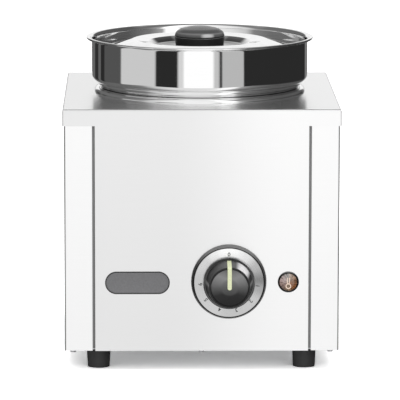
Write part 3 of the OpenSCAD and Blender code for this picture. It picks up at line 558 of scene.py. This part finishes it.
def spun_dial(name, piece, fans, roughness):
    """Aluminium brushed in rings, whose light and dark fans from the middle are painted sheen."""
    material, tree, shader = new_finish(name, (0.8,) * 3, 1.0, roughness)
    turn, radius = round_front(tree, piece)
    # The fans of light and dark are painted sheen, laid on by the angle round the dial
    light = angle_ramp(tree, turn, [(angle, (level,) * 3) for angle, level in fans])
    rings = ringed_noise(tree, turn, radius, 14.0, 2600.0)
    streaks = math_node(tree, "MULTIPLY_ADD", rings, 0.24, 0.88)
    tree.links.new(math_node(tree, "MULTIPLY", light, streaks), shader.inputs["Base Color"])
    vary(tree, rings, roughness - 0.05, roughness + 0.05, shader.inputs["Roughness"])
    relief(tree, rings, shader, 2e-6)
    return material


def rayed_lens(name, piece, stops, roughness):
    """A coloured lens moulded in rays, with light and dark streaks along the rays painted into its colour."""
    material, tree, shader = new_finish(name, (0.4, 0.2, 0.1), 0.0, roughness)
    turn, radius = round_front(tree, piece)
    rays = ringed_noise(tree, turn, radius, 46.0, 160.0, 2.0)
    # The streaks along the rays are painted light
    streaks = map_range(tree, rays, 0.35, 0.65, 0.35, 1.35)
    tree.links.new(scaled(tree, angle_ramp(tree, turn, stops), streaks), shader.inputs["Base Color"])
    relief(tree, rays, shader, 2e-4)
    shader.inputs["Coat Weight"].default_value = 0.6
    return material

# %% [markdown]
# ## Black gloss, plastics and plating
# The black pieces are small, and a few sheens decide their look. More screens in the world would give
# them these, but the steel would mirror those too. So a ramp reads which way the surface faces and
# lays the sheen there. Plain plastics and plated metal need only a fine noise in tone and roughness.

# %% Black gloss
# Tones by how far a surface faces up, and a streak: direction, start, end, colour
KNOB_TONES = [
    (-1.0, (0.006,) * 3), (-0.16, (0.008,) * 3), (-0.07, (0.02,) * 3), (0.0, (0.09,) * 3),
    (0.10, (0.22,) * 3), (0.2, (0.012,) * 3), (0.7, (0.022,) * 3), (0.90, (0.05,) * 3),
    (0.975, (0.08,) * 3), (1.0, (0.004,) * 3)
]
KNOB_STREAK = ((0.66, -0.10, 0.74), 0.90, 0.995, (0.78, 0.77, 0.78))
LID_KNOB_TONES = [
    (-1.0, (0.006,) * 3), (0.0, (0.02,) * 3), (0.1, (0.03,) * 3), (0.3, (0.07,) * 3), (0.45, (0.17,) * 3),
    (0.62, (0.15,) * 3), (0.8, (0.06,) * 3), (0.95, (0.07,) * 3), (1.0, (0.10,) * 3)
]
LID_KNOB_STREAK = ((0.30, -0.89, 0.34), 0.95, 1.0, (0.5, 0.5, 0.5))
# Specular level of the black pieces, low beside the usual 0.5, so that the sheens stand out
BLACK_GLOSS = 0.2


def lit_rim(name, colour, top_colour, roughness):
    """Gloss black whose upward slopes carry the pale line that the ceiling draws on them."""
    material, tree, shader = new_finish(name, colour, 0.0, roughness)
    marks = stretched_noise(tree, (500,) * 3)
    vary(tree, marks, roughness - 0.05, roughness + 0.08, shader.inputs["Roughness"])
    stops = [(0.42, colour), (0.80, top_colour), (0.965, top_colour), (0.985, colour)]
    tree.links.new(colour_ramp(tree, facing(tree)["Z"], stops), shader.inputs["Base Color"])
    shader.inputs["Specular IOR Level"].default_value = BLACK_GLOSS
    return material


def lit_moulding(name, face_tones, streak, roughness):
    """Black plastic with the sheen that a bright screen high on the right lays on it: a front face
    paler towards the top, and a pale streak where a round side faces the screen."""
    material, tree, shader = new_finish(name, face_tones[1][1], 0.0, roughness)
    marks = stretched_noise(tree, (1200,) * 3)
    vary(tree, marks, roughness - 0.05, roughness + 0.08, shader.inputs["Roughness"])
    normal = add_node(tree, "ShaderNodeNewGeometry").outputs["Normal"]
    share = math_node(tree, "MULTIPLY_ADD", parts(tree, normal)["Z"], 0.5, 0.5)
    face = colour_ramp(tree, share, [(z / 2 + 0.5, colour) for z, colour in face_tones])
    direction, start, end, colour = streak
    toward = add_node(tree, "ShaderNodeVectorMath", operation="DOT_PRODUCT")
    toward.inputs[1].default_value = Vector(direction).normalized()
    tree.links.new(normal, toward.inputs[0])
    glint = colour_ramp(tree, toward.outputs["Value"], [(start, (0, 0, 0)), (end, (1, 1, 1))], "EASE")
    tree.links.new(mixed(tree, glint, face, (*colour, 1)), shader.inputs["Base Color"])
    relief(tree, marks, shader, 3e-6)
    shader.inputs["Specular IOR Level"].default_value = BLACK_GLOSS
    return material

# %% Plastics and plating
def moulded(name, colour, roughness, grain=900, depth=4e-6):
    """Plastic or rubber with the fine grain of its mould."""
    material, tree, shader = new_finish(name, colour, 0.0, roughness)
    marks = stretched_noise(tree, (grain,) * 3)
    vary(tree, marks, roughness - 0.06, roughness + 0.08, shader.inputs["Roughness"])
    tint(tree, marks, tuple(c * 0.9 for c in colour), tuple(min(c * 1.1, 1) for c in colour),
         shader.inputs["Base Color"])
    relief(tree, marks, shader, depth)
    return material


def plated(name, colour, roughness):
    """Zinc, brass or aluminium with small crystals in its surface."""
    material, tree, shader = new_finish(name, colour, 1.0, roughness)
    marks = stretched_noise(tree, (400, 400, 400), 6.0)
    vary(tree, marks, roughness - 0.08, roughness + 0.12, shader.inputs["Roughness"])
    tint(tree, marks, tuple(c * 0.88 for c in colour), colour, shader.inputs["Base Color"])
    return material

# %% [markdown]
# ## The table of finishes
# Each CAD node names the slot of its material. One table turns a slot into a finish, so that a node
# and the new piece that stands for it get the same one, and a finish is changed in one place.

# %% Table of finishes
FINISHES = {
    # The panels' tones, left then right, hold painted shade, and their edges are painted darker
    "satin_steel_front": panel_steel("satin_front", (0.825, 0.97), (0.80, 0.855), FRONT_EDGE, 0.30, 0.21),
    "satin_steel_side": panel_steel("satin_side", (0.95, 0.98), (0.85, 0.85), SIDE_EDGE, 0.30, 0.25),
    "satin_steel_well": brushed_steel("drawn_well", 0.88, 0.09, (60, 60, 900), 5e-7),
    "polished_steel": polished_steel("polished_pot", 0.90, 0.035),
    "polished_lid": dished_steel("polished_lid", LID_TONES, 0.05),
    "zinc_plate": plated("zinc_sheet", (0.60, 0.61, 0.62), 0.42),
    "zinc_fastener": plated("zinc_screw", (0.66, 0.67, 0.68), 0.30),
    "aluminium_plate": plated("rolled_aluminium", (0.75, 0.76, 0.78), 0.38),
    "element_sheath": plated("oxidised_sheath", (0.20, 0.18, 0.17), 0.5),
    "copper_bulb": plated("copper", (0.72, 0.38, 0.24), 0.34),
    "brass_stud": plated("brass", (0.78, 0.60, 0.28), 0.3),
    "brushed_dial": spun_dial("spun_dial", "dial_rim", DIAL_PAINTED_SHEEN, 0.30),
    "dark_rim": lit_rim("gloss_black_rim", (0.003,) * 3, (0.15,) * 3, 0.2),
    "grey_badge": moulded("grey_badge", (0.155, 0.155, 0.16), 0.45, 700, 2e-6),
    "amber_lens": rayed_lens("amber_lens", "pilot_lamp_bezel", LENS_TONES_AND_HIGHLIGHT, 0.16),
    "knob_plastic": lit_moulding("knob_black", KNOB_TONES, KNOB_STREAK, 0.36),
    "pointer_ivory": moulded("pointer_line", (0.70, 0.74, 0.48), 0.5, 900, 2e-6),
    "lid_knob_plastic": lit_moulding("phenolic_black", LID_KNOB_TONES, LID_KNOB_STREAK, 0.3),
    "black_plastic": moulded("gland_black", (0.03, 0.03, 0.03), 0.5),
    "black_rubber": moulded("foot_rubber", (0.03, 0.03, 0.03), 0.62, 1500, 8e-6),
    "white_plastic": moulded("terminal_white", (0.78, 0.76, 0.70), 0.45),
    "ceramic_white": moulded("bare_ceramic", (0.80, 0.78, 0.72), 0.6),
    "mineral_wool": moulded("mineral_wool", (0.66, 0.58, 0.34), 0.95, 350, 8e-4),
    "red_insulation": moulded("wire_red", (0.42, 0.04, 0.03), 0.4),
}
print("finishes:", len(FINISHES))

# %% Give every CAD node its finish
for part in frame["record"]["subparts"]:
    node = frame["nodes"][part["node"]]
    node.data.materials.clear()
    node.data.materials.append(FINISHES[part["material_slot"]])

# %% [markdown]
# ## Profiles
# The pot, lid, knobs, dial and lamp are all round, and each is one profile turned round an axis. A
# profile drawn point by point is hard to change. Here its corners are given with a radius, and a
# helper turns each into a short arc. A second one moves a line sideways, which gives a drawn sheet
# its thickness.

# %% Profile helpers
ARC_STEPS = 8


def unit(v):
    return v / v.length


def rounded(corners):
    """A list of (x, y, radius) corners as points, with each inner corner an arc."""
    line = []
    for index, (x, y, radius) in enumerate(corners):
        here = Vector((x, y))
        if radius == 0 or index in (0, len(corners) - 1):
            line.append(here)
            continue
        back = unit(Vector(corners[index - 1][:2]) - here)
        on = unit(Vector(corners[index + 1][:2]) - here)
        half = back.angle(on) / 2
        middle = here + unit(back + on) * radius / math.sin(half)
        first = here + back * radius / math.tan(half) - middle
        last = here + on * radius / math.tan(half) - middle
        start = math.atan2(first.y, first.x)
        turn = (math.atan2(last.y, last.x) - start + 3 * math.pi) % (2 * math.pi) - math.pi
        for step in range(ARC_STEPS + 1):
            angle = start + turn * step / ARC_STEPS
            line.append(middle + radius * Vector((math.cos(angle), math.sin(angle))))
    return line


def beside(line, offset):
    """The line moved sideways, to the left of its direction."""
    moved = []
    for index, point in enumerate(line):
        before = unit(line[index] - line[index - 1]) if index else unit(line[1] - line[0])
        after = unit(line[index + 1] - line[index]) if index + 1 < len(line) else before
        left = unit(Vector((-before.y - after.y, before.x + after.x)))
        moved.append(point + left * offset / left.dot(Vector((-before.y, before.x))))
    return moved

# %% [markdown]
# ## The lathe
# On a lathe a profile is swept round an axis, and Blender's spin does the same: one vertex is
# extruded along the profile, and the chain is spun. A Screw modifier could do it as well, but spin
# works in edit mode, where the doubles at the seam are merged and the faces are turned outwards
# straight away.

# %% Turning
# An edge that turns by more than this stays sharp
SMOOTH_ANGLE = math.radians(30)


def turned(name, profile, steps, centre=None, to_front=False):
    """Spins a closed profile of (radius, height) points, in millimetres, round an upright axis, or
    round one that points to the front, with its height counted from centre."""
    cx, cy, cz = centre or (AXIS_X, AXIS_Y, DECK_Z)

    def placed(point):
        if to_front:
            return Vector((cx + point.x * MM, cy - point.y * MM, cz))
        return Vector((cx + point.x * MM, cy, cz + point.y * MM))

    points = [placed(p) for p in profile]
    bpy.ops.object.select_all(action="DESELECT")
    bpy.ops.mesh.primitive_plane_add(size=MM, location=(0, 0, 0))
    piece = bpy.context.active_object
    piece.name = piece.data.name = name
    bpy.ops.object.mode_set(mode="EDIT")
    bpy.ops.mesh.select_all(action="SELECT")
    bpy.ops.mesh.merge(type="CENTER")
    bpy.ops.transform.translate(value=points[0])
    for start, end in zip(points, points[1:]):
        bpy.ops.mesh.extrude_region_move(TRANSFORM_OT_translate={"value": end - start})
    bpy.ops.mesh.select_all(action="SELECT")
    axis = (0, 1, 0) if to_front else (0, 0, 1)
    bpy.ops.mesh.spin(steps=steps, angle=2 * math.pi, center=(cx, cy, cz), axis=axis)
    bpy.ops.mesh.select_all(action="SELECT")
    bpy.ops.mesh.remove_doubles(threshold=1e-6)
    bpy.ops.mesh.normals_make_consistent(inside=False)
    bpy.ops.object.mode_set(mode="OBJECT")
    bpy.ops.object.shade_smooth_by_angle(angle=SMOOTH_ANGLE)
    print(name, "turned from", len(points), "points into", len(piece.data.polygons), "faces")
    return piece

# %% [markdown]
# ## Blocks, joins and bodies
# A few flat pieces start as a cube. A real edge is never sharp, so each gets a small bevel that
# catches the light. Small parts of one print are joined into one mesh. The last helper gives a new
# piece its finish, the body that carries it and the CAD nodes that it stands for.

# %% Block and piece helpers
def soften_edges(piece, width):
    """Rounds the piece's sharp edges by a width in millimetres."""
    rounding = piece.modifiers.new("soft_edges", "BEVEL")
    rounding.width = width * MM
    rounding.segments = 2
    rounding.limit_method = "ANGLE"
    rounding.angle_limit = SMOOTH_ANGLE
    bpy.ops.object.modifier_apply(modifier=rounding.name)
    bpy.ops.object.shade_smooth_by_angle(angle=SMOOTH_ANGLE)


def block(name, size, middle, softened):
    """A box of a size in millimetres round a point in metres, its edges softened."""
    bpy.ops.object.select_all(action="DESELECT")
    bpy.ops.mesh.primitive_cube_add(size=1, location=middle)
    piece = bpy.context.active_object
    piece.name = piece.data.name = name
    piece.scale = Vector(size) * MM
    bpy.ops.object.transform_apply(location=True, rotation=True, scale=True)
    soften_edges(piece, softened)
    return piece


def joined(name, pieces):
    """All the pieces as one mesh."""
    bpy.ops.object.select_all(action="DESELECT")
    for piece in pieces:
        piece.select_set(True)
    bpy.context.view_layer.objects.active = pieces[0]
    bpy.ops.object.join()
    pieces[0].name = pieces[0].data.name = name
    return pieces[0]


def finish_piece(piece, body, slot_name, *nodes, finish=None):
    """Gives a new piece its finish, its body and the CAD nodes that it stands for."""
    piece.data.materials.clear()
    piece.data.materials.append(finish or FINISHES[slot_name])
    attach(piece, body)
    if nodes:
        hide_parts(*nodes)

# %% [markdown]
# ## The pot
# The pot is drawn from one sheet: a rolled rim, a straight wall, a soft corner, a shoulder that rests
# on the well's collar and a narrower wall that hangs in the water. Stacked cylinders would leave hard
# steps. So one line follows the outside, the same line moved inwards by the sheet's thickness closes
# it, and both are spun together. The shoulder's angle is worked out, so that it just clears the
# collar's bead.

# %% Pot
POT_R, POT_LOWER_R, POT_T = 120.0, 102.0, 1.0
RIM_H, RIM_MID_R, RIM_BEAD_R = 61.0, 124.6, 1.4
CORNER_H, CORNER_ROUND, POT_DEPTH = 15.2, 7.0, 145.0
COLLAR_MID_R, COLLAR_BEAD_R, REST_GAP = 112.5, 5.0, 0.3
seat = Vector((POT_R - COLLAR_MID_R, CORNER_H))
shoulder_angle = math.atan2(seat.y, seat.x) - math.asin((COLLAR_BEAD_R + REST_GAP) / seat.length)
shoulder_foot = CORNER_H - (POT_R - POT_LOWER_R) * math.tan(shoulder_angle)
print("the shoulder slopes at", round(math.degrees(shoulder_angle), 1), "degrees")


def arc(middle, radius, start, end, steps):
    """Points on an arc between two angles in degrees."""
    angles = [math.radians(start + (end - start) * i / steps) for i in range(steps + 1)]
    return [Vector(middle) + radius * Vector((math.cos(a), math.sin(a))) for a in angles]


curl = arc((RIM_MID_R, RIM_H - RIM_BEAD_R), RIM_BEAD_R - POT_T, -90, 75, 8)
wall = rounded([
    (RIM_MID_R, RIM_H - POT_T, 0), (POT_R, RIM_H - POT_T, 4), (POT_R, CORNER_H, CORNER_ROUND),
    (POT_LOWER_R, shoulder_foot, 6), (POT_LOWER_R, -POT_DEPTH, 16), (0, -POT_DEPTH, 0)
])
outside = curl + wall
inside = beside(outside, -POT_T)
pot = turned("pot_shell", outside + inside[::-1], 256)
finish_piece(pot, "pot", "polished_steel", "pot")

# %% [markdown]
# ## The water well
# The well is drawn too. Its mouth rolls outwards into the round collar on which the pot's shoulder
# rests. A torus laid on the deck would show a seam, so the collar is an arc at the start of the
# well's own line.

# %% Water well
WELL_R, WELL_DEPTH, WELL_T, WELL_CORNER_R = 108.5, 168.0, 1.0, 16.0
collar = arc((COLLAR_MID_R, 0), COLLAR_BEAD_R, 0, 180, 24)
well_line = collar + rounded([
    (WELL_R - WELL_T, 0, 0), (WELL_R - WELL_T, WELL_T - WELL_DEPTH, WELL_CORNER_R - WELL_T),
    (2.6, WELL_T - WELL_DEPTH, 0)
])[1:]
well = turned("well_shell", well_line + beside(well_line, WELL_T)[::-1] + well_line[:1], 192)
finish_piece(well, "housing", "satin_steel_well", "water_well")

# %% [markdown]
# ## The lid
# The lid lies inside the rim on a wire ledge. Its flat edge turns up into a cone, a soft crest and a
# dish in which the knob stands. Cones set on each other would meet in sharp rings, but a pressed lid
# has none, and polished steel shows each change of slope. So the corners of the profile are large
# arcs.

# %% Lid
LID_R, LID_EDGE_H, LID_T = 118.3, 48.0, 0.8
CREST_R, CREST_H, DISH_R = 73.5, 57.6, 56.5
RISE_DEG, CREST_FALL, DISH_DEPTH = 17.0, 2.2, 2.4
rise_r = CREST_R + (CREST_H - LID_EDGE_H) / math.tan(math.radians(RISE_DEG))
DISH_Z = CREST_H - CREST_FALL - DISH_DEPTH
lid_top = rounded([
    (LID_R, LID_EDGE_H, 0), (rise_r, LID_EDGE_H, 14), (CREST_R, CREST_H, 14),
    (DISH_R, CREST_H - CREST_FALL, 1), (48.5, DISH_Z - 3.0, 5), (27, DISH_Z - 4.5, 30), (2.2, DISH_Z - 4.5, 0)
])
lid_under = beside(lid_top, LID_T)
lid = turned("lid_shell", lid_top + lid_under[::-1] + lid_top[:1], 256)
finish_piece(lid, "lid", "polished_lid", "lid")

# %% [markdown]
# ## The lid knob
# A black phenolic moulding with a slightly flared side, a fine parting line at its widest and a low
# domed top. A flattened sphere would come near it, but the flat foot and the parting line come with a
# spun profile at no cost.

# %% Lid knob
LID_KNOB_R, WAIST_H, LID_KNOB_H = 28.0, 7.6, 19.5
knob_profile = rounded([
    (0, LID_KNOB_H - 0.6, 0), (9, LID_KNOB_H - 0.9, 40), (20.5, LID_KNOB_H - 3.4, 14),
    (LID_KNOB_R - 1.8, WAIST_H + 5.2, 5), (LID_KNOB_R - 0.1, WAIST_H + 0.5, 0.8),
    (LID_KNOB_R - 0.7, WAIST_H + 0.1, 0), (LID_KNOB_R - 0.7, WAIST_H - 0.3, 0),
    (LID_KNOB_R - 0.3, WAIST_H - 0.7, 0.3), (LID_KNOB_R - 1.4, -4.3, 1), (0, -4.3, 0)
])
lid_knob = turned("lid_knob_moulding", [p + Vector((0, DISH_Z)) for p in knob_profile], 128)
finish_piece(lid_knob, "lid", "lid_knob_plastic", "lid_knob")

# %% [markdown]
# ## The dial
# A ring of aluminium, brushed in circles, lies in a raised black rim that slopes up from the fascia.
# One piece with two materials would do, but two closed rings keep the edge between them clean, and
# each stands for its own CAD node.

# %% Dial plate and rim
def front_centre(node):
    """The middle of a round front piece, on the fascia's face."""
    low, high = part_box(node)
    return ((low.x + high.x) / 2, FACE_Y, (low.z + high.z) / 2)


DIAL_AT = front_centre("dial_rim")
DIAL_R, DIAL_RIM_W, DIAL_T, DIAL_RIM_T = 40.6, 3.0, 7.6, 8.2
SHAFT_HOLE_R = (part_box("thermostat_shaft")[1].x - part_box("thermostat_shaft")[0].x) / 2 / MM + 2.5
plate_r = DIAL_R - DIAL_RIM_W
plate_line = rounded([
    (SHAFT_HOLE_R, 0, 0), (SHAFT_HOLE_R, DIAL_T, 0.2), (plate_r - 0.1, DIAL_T, 0.2), (plate_r - 0.1, 0, 0),
    (SHAFT_HOLE_R, 0, 0)
])
dial = turned("spun_dial_plate", plate_line, 128, DIAL_AT, True)
finish_piece(dial, "housing", "brushed_dial", "dial_plate")
rim_line = rounded([
    (plate_r, 0, 0), (plate_r, DIAL_RIM_T, 0.3), (plate_r + 0.9, DIAL_RIM_T, 0.7), (DIAL_R, 1.6, 0.6),
    (DIAL_R, 0, 0), (plate_r, 0, 0)
])
dial_ring = turned("raised_dial_rim", rim_line, 128, DIAL_AT, True)
finish_piece(dial_ring, "housing", "dark_rim", "dial_rim")

# %% [markdown]
# ## The dial's figures
# The dial is printed with plain figures, and each stands upright when its place is at the top. Text
# objects give their outlines, which is quicker than drawing them. Each is turned into a mesh, scaled
# to its height and then moved to its place, and all of them are joined into one piece of thin print.

# %% Dial figures
FIGURES = [("0", 0), ("1", 96.5), ("2", 130.6), ("3", 164.7), ("4", 198.8), ("5", 232.9), ("6", 267)]
FIGURE_R, FIGURE_H, PRINT_T = 31.0, 4.3, 0.12


def figure(text, angle, height):
    bpy.ops.object.select_all(action="DESELECT")
    bpy.ops.object.text_add(location=(0, 0, 0))
    sign = bpy.context.active_object
    sign.data.body = text
    sign.data.align_x, sign.data.align_y = "CENTER", "CENTER"
    sign.data.extrude = 0.01
    sign.data.offset = 0.015
    bpy.ops.object.convert(target="MESH")
    sign = bpy.context.active_object
    bpy.ops.object.origin_set(type="ORIGIN_GEOMETRY", center="BOUNDS")
    sign.scale = (height * MM / sign.dimensions.y,) * 2 + (PRINT_T * MM / sign.dimensions.z,)
    turn = math.radians(angle)
    sign.rotation_euler = (math.pi / 2, turn, 0)
    sign.location = (DIAL_AT[0] + FIGURE_R * MM * math.sin(turn), DIAL_AT[1] - (DIAL_T + PRINT_T / 2) * MM,
                     DIAL_AT[2] + FIGURE_R * MM * math.cos(turn))
    bpy.ops.object.transform_apply(location=True, rotation=True, scale=True)
    return sign


figures = joined("dial_figures", [figure(text, angle, FIGURE_H) for text, angle in FIGURES])
finish_piece(figures, "housing", "dark_rim", finish=moulded("figure_ink", (0.035, 0.035, 0.035), 0.5))
print("figures on the dial:", len(FIGURES))

# %% [markdown]
# ## The control knob
# One black moulding: a flat skirt, a long grip that narrows to the front, a fine groove round the
# face and a slightly domed face inside a dull black ring. A bevelled cone would lack the skirt and
# the groove, so the whole outline is one profile. The ivory line is a CAD node, and runs over the
# grip to the middle of the face.

# %% Control knob
KNOB_BACK, KNOB_FRONT, SKIRT_T, KNOB_R, GRIP_R, KNOB_FACE_R = 8.6, 40.0, 5.4, 27.7, 25.2, 21.9
HUB_R, HUB_DEPTH = 13.0, 6.0
skirt_front = KNOB_BACK + SKIRT_T
grip_line = rounded([
    (0, KNOB_FRONT - 0.1, 0), (9, KNOB_FRONT - 0.5, 40), (KNOB_FACE_R - 2.0, KNOB_FRONT - 1.7, 0.5),
    (KNOB_FACE_R - 1.7, KNOB_FRONT - 2.6, 0.1), (KNOB_FACE_R - 1.1, KNOB_FRONT - 2.6, 0.1),
    (KNOB_FACE_R - 0.9, KNOB_FRONT - 0.9, 0.2), (KNOB_FACE_R, KNOB_FRONT - 1.1, 0.5),
    (GRIP_R, skirt_front - 0.2, 0.4), (KNOB_R - 0.5, skirt_front, 0.4), (KNOB_R, skirt_front - 0.6, 0.3),
    (KNOB_R, KNOB_BACK, 0.3), (HUB_R, KNOB_BACK, 0.3), (HUB_R, KNOB_BACK + HUB_DEPTH, 0),
    (0, KNOB_BACK + HUB_DEPTH, 0)
])
grip = turned("knob_moulding", grip_line, 128, DIAL_AT, True)
finish_piece(grip, "knob", "knob_plastic", "control_knob")
ring_line = rounded([
    (KNOB_FACE_R - 1.6, KNOB_FRONT - 2.2, 0), (KNOB_FACE_R - 1.6, KNOB_FRONT - 0.9, 0.2),
    (KNOB_FACE_R, KNOB_FRONT - 0.9, 0.2), (KNOB_FACE_R + 0.2, KNOB_FRONT - 2.2, 0),
    (KNOB_FACE_R - 1.6, KNOB_FRONT - 2.2, 0)
])
ring = turned("knob_face_ring", ring_line, 128, DIAL_AT, True)
finish_piece(ring, "knob", "knob_plastic", finish=moulded("ring_black", (0.006, 0.006, 0.006), 0.5))

# %% [markdown]
# ## The pilot lamp
# A black bezel holds a low amber lens, moulded in rays, with a pale thermometer sign on it. Bezel and
# lens are spun. The sign could be painted by the finish, but at this size a thin mesh stays sharper:
# a spun ring is the bulb, and two short strokes are the stem.

# %% Pilot lamp
LAMP_AT = front_centre("pilot_lamp_bezel")
LAMP_R, BEZEL_W, BEZEL_H, LENS_H = 11.4, 1.9, 2.0, 3.4
lens_r = LAMP_R - BEZEL_W
bezel_line = rounded([
    (lens_r, 0, 0), (lens_r, BEZEL_H, 0.4), (lens_r + 0.8, BEZEL_H, 0.5), (LAMP_R, BEZEL_H - 1.1, 0.4),
    (LAMP_R, 0, 0), (lens_r, 0, 0)
])
bezel = turned("lamp_bezel_ring", bezel_line, 96, LAMP_AT, True)
finish_piece(bezel, "housing", "dark_rim", "pilot_lamp_bezel")
lens_line = rounded([
    (0, LENS_H, 0), (6.4, LENS_H, 2), (lens_r - 0.9, BEZEL_H - 0.1, 1), (lens_r - 0.05, BEZEL_H - 0.6, 0.2),
    (lens_r - 0.05, 0, 0), (0, 0, 0)
])
lens = turned("lamp_lens", lens_line, 96, LAMP_AT, True)
finish_piece(lens, "housing", "amber_lens", "pilot_lamp_lens")

# %% Thermometer sign on the lens
SIGN_BULB_R, SIGN_LINE, SIGN_T = 2.5, 1.05, 0.25
STEM_W, STEM_H, STEM_LINE, STEM_RISE, BULB_DROP = 2.2, 7.4, 0.945, 5.6, 4.1
bulb_at = (LAMP_AT[0] - 0.1 * MM, FACE_Y - LENS_H * MM, LAMP_AT[2] - BULB_DROP * MM)
bulb_line = rounded([
    (SIGN_BULB_R - SIGN_LINE / 2, 0, 0), (SIGN_BULB_R - SIGN_LINE / 2, SIGN_T, 0.1),
    (SIGN_BULB_R + SIGN_LINE / 2, SIGN_T, 0.1), (SIGN_BULB_R + SIGN_LINE / 2, 0, 0),
    (SIGN_BULB_R - SIGN_LINE / 2, 0, 0)
])
stem_y, stem_z = FACE_Y - (LENS_H + SIGN_T / 2) * MM, bulb_at[2] + STEM_RISE * MM
stems = []
for side in (-1, 1):
    middle = (bulb_at[0] + side * STEM_W / 2 * MM, stem_y, stem_z)
    stems.append(block("sign_stem", (STEM_LINE, SIGN_T, STEM_H), middle, 0.08))
sign = joined("thermometer_sign", [turned("sign_bulb", bulb_line, 48, bulb_at, True)] + stems)
finish_piece(sign, "housing", "amber_lens", finish=moulded("sign_print", (0.86, 0.68, 0.56), 0.5))

# %% [markdown]
# ## The badge
# A bare grey plate with round ends lies in a black border. A cube with a very wide bevel pinches at
# its ends. So a disc is taken, the vertices of its two halves are moved apart, and insets raise the
# face inside a narrow edge. The border is made in the same way, a little larger and lower.

# %% Choosing points and faces
def choose(piece, kind, chosen):
    """Selects, in edit mode, the points or faces of the piece for which chosen is true."""
    bpy.ops.object.mode_set(mode="EDIT")
    bpy.ops.mesh.select_mode(type=kind)
    bpy.ops.mesh.select_all(action="DESELECT")
    bpy.ops.object.mode_set(mode="OBJECT")
    for part in piece.data.vertices if kind == "VERT" else piece.data.polygons:
        part.select = chosen(part)
    bpy.ops.object.mode_set(mode="EDIT")

# %% Badge
BADGE_W, BADGE_H, BADGE_STEP, BADGE_EDGE_T, BADGE_T = 67.6, 22.4, 0.6, 1.1, 1.8
BORDER_W, BORDER_STEP, BORDER_EDGE_T, BORDER_T = 1.1, 0.4, 0.8, 0.9
# Width of the slope up to the raised face, and of the lip round its slightly sunk middle
SLOPE_W, LIP_W, MIDDLE_SINK = 0.35, 0.6, 0.15
ROUND_STEPS, PLATE_SOFTENED = 64, 0.15


def stadium_plate(name, centre, width, height, step, edge_t, face_t):
    """A disc pulled out into a plate with round ends, its face raised inside a stepped edge."""
    bpy.ops.object.select_all(action="DESELECT")
    bpy.ops.mesh.primitive_cylinder_add(vertices=ROUND_STEPS, radius=height / 2 * MM, depth=edge_t * MM,
                                        location=(0, 0, 0), rotation=(0, 0, math.pi / ROUND_STEPS))
    plate = bpy.context.active_object
    plate.name = plate.data.name = name
    bpy.ops.object.transform_apply(location=False, rotation=True, scale=True)
    for side in (-1, 1):
        choose(plate, "VERT", lambda point: point.co.x * side > 0)
        bpy.ops.transform.translate(value=(side * (width - height) / 2 * MM, 0, 0))
        bpy.ops.object.mode_set(mode="OBJECT")
    choose(plate, "FACE", lambda face: face.normal.z > 0.99)
    bpy.ops.mesh.inset(thickness=step * MM)
    bpy.ops.mesh.inset(thickness=SLOPE_W * MM, depth=(face_t - edge_t) * MM)
    bpy.ops.mesh.inset(thickness=LIP_W * MM, depth=-MIDDLE_SINK * MM)
    bpy.ops.object.mode_set(mode="OBJECT")
    plate.rotation_euler = (math.pi / 2, 0, 0)
    plate.location = (centre[0], centre[1] - edge_t / 2 * MM, centre[2])
    bpy.ops.object.transform_apply(location=True, rotation=True, scale=True)
    soften_edges(plate, PLATE_SOFTENED)
    print(name, "has", len(plate.data.polygons), "faces")
    return plate


badge_at = front_centre("badge_plate")
badge = stadium_plate("badge_shell", badge_at, BADGE_W, BADGE_H, BADGE_STEP, BADGE_EDGE_T, BADGE_T)
finish_piece(badge, "housing", "grey_badge", "badge_plate")
border = stadium_plate("badge_border", badge_at, BADGE_W + 2 * BORDER_W, BADGE_H + 2 * BORDER_W, BORDER_STEP,
                       BORDER_EDGE_T, BORDER_T)
finish_piece(border, "housing", "grey_badge", finish=moulded("border_black", (0.012, 0.012, 0.012), 0.5))

# %% [markdown]
# ## Painted shade in the slots
# The open slots beside the fascia would read as hard black lines. A dull grey strip stands in each, a
# little behind the fascia, and its grey is painted shade, so that they read as soft grey ones. A
# softened block is enough, as only its front shows.

# %% Slot shade strips
SLOT_X, SHADE_STRIP_W, SHADE_STRIP_T, SHADE_STRIP_BACK = 116.6, 2.8, 0.8, 2.0
SHADE_STRIP_TOP_DROP, SHADE_STRIP_FOOT_GAP = 16.0, 2.6
# The strip's grey stands in for the shade seen in the slot
slot_shade_grey = moulded("slot_shade_grey", (0.19, 0.19, 0.19), 0.6)
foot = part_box("left_side_panel")[0].z + SHADE_STRIP_FOOT_GAP * MM
top = DECK_Z - SHADE_STRIP_TOP_DROP * MM
shade_strip_y = FACE_Y + (SHADE_STRIP_BACK + SHADE_STRIP_T / 2) * MM
for side, name in ((-1, "left_slot_shade_strip"), (1, "right_slot_shade_strip")):
    middle = (side * SLOT_X * MM, shade_strip_y, (foot + top) / 2)
    shade_strip = block(name, (SHADE_STRIP_W, SHADE_STRIP_T, (top - foot) / MM), middle, 0.25)
    finish_piece(shade_strip, "housing", "grey_badge", finish=slot_shade_grey)
print("the slot shade strips are", round((top - foot) / MM, 1), "mm tall")
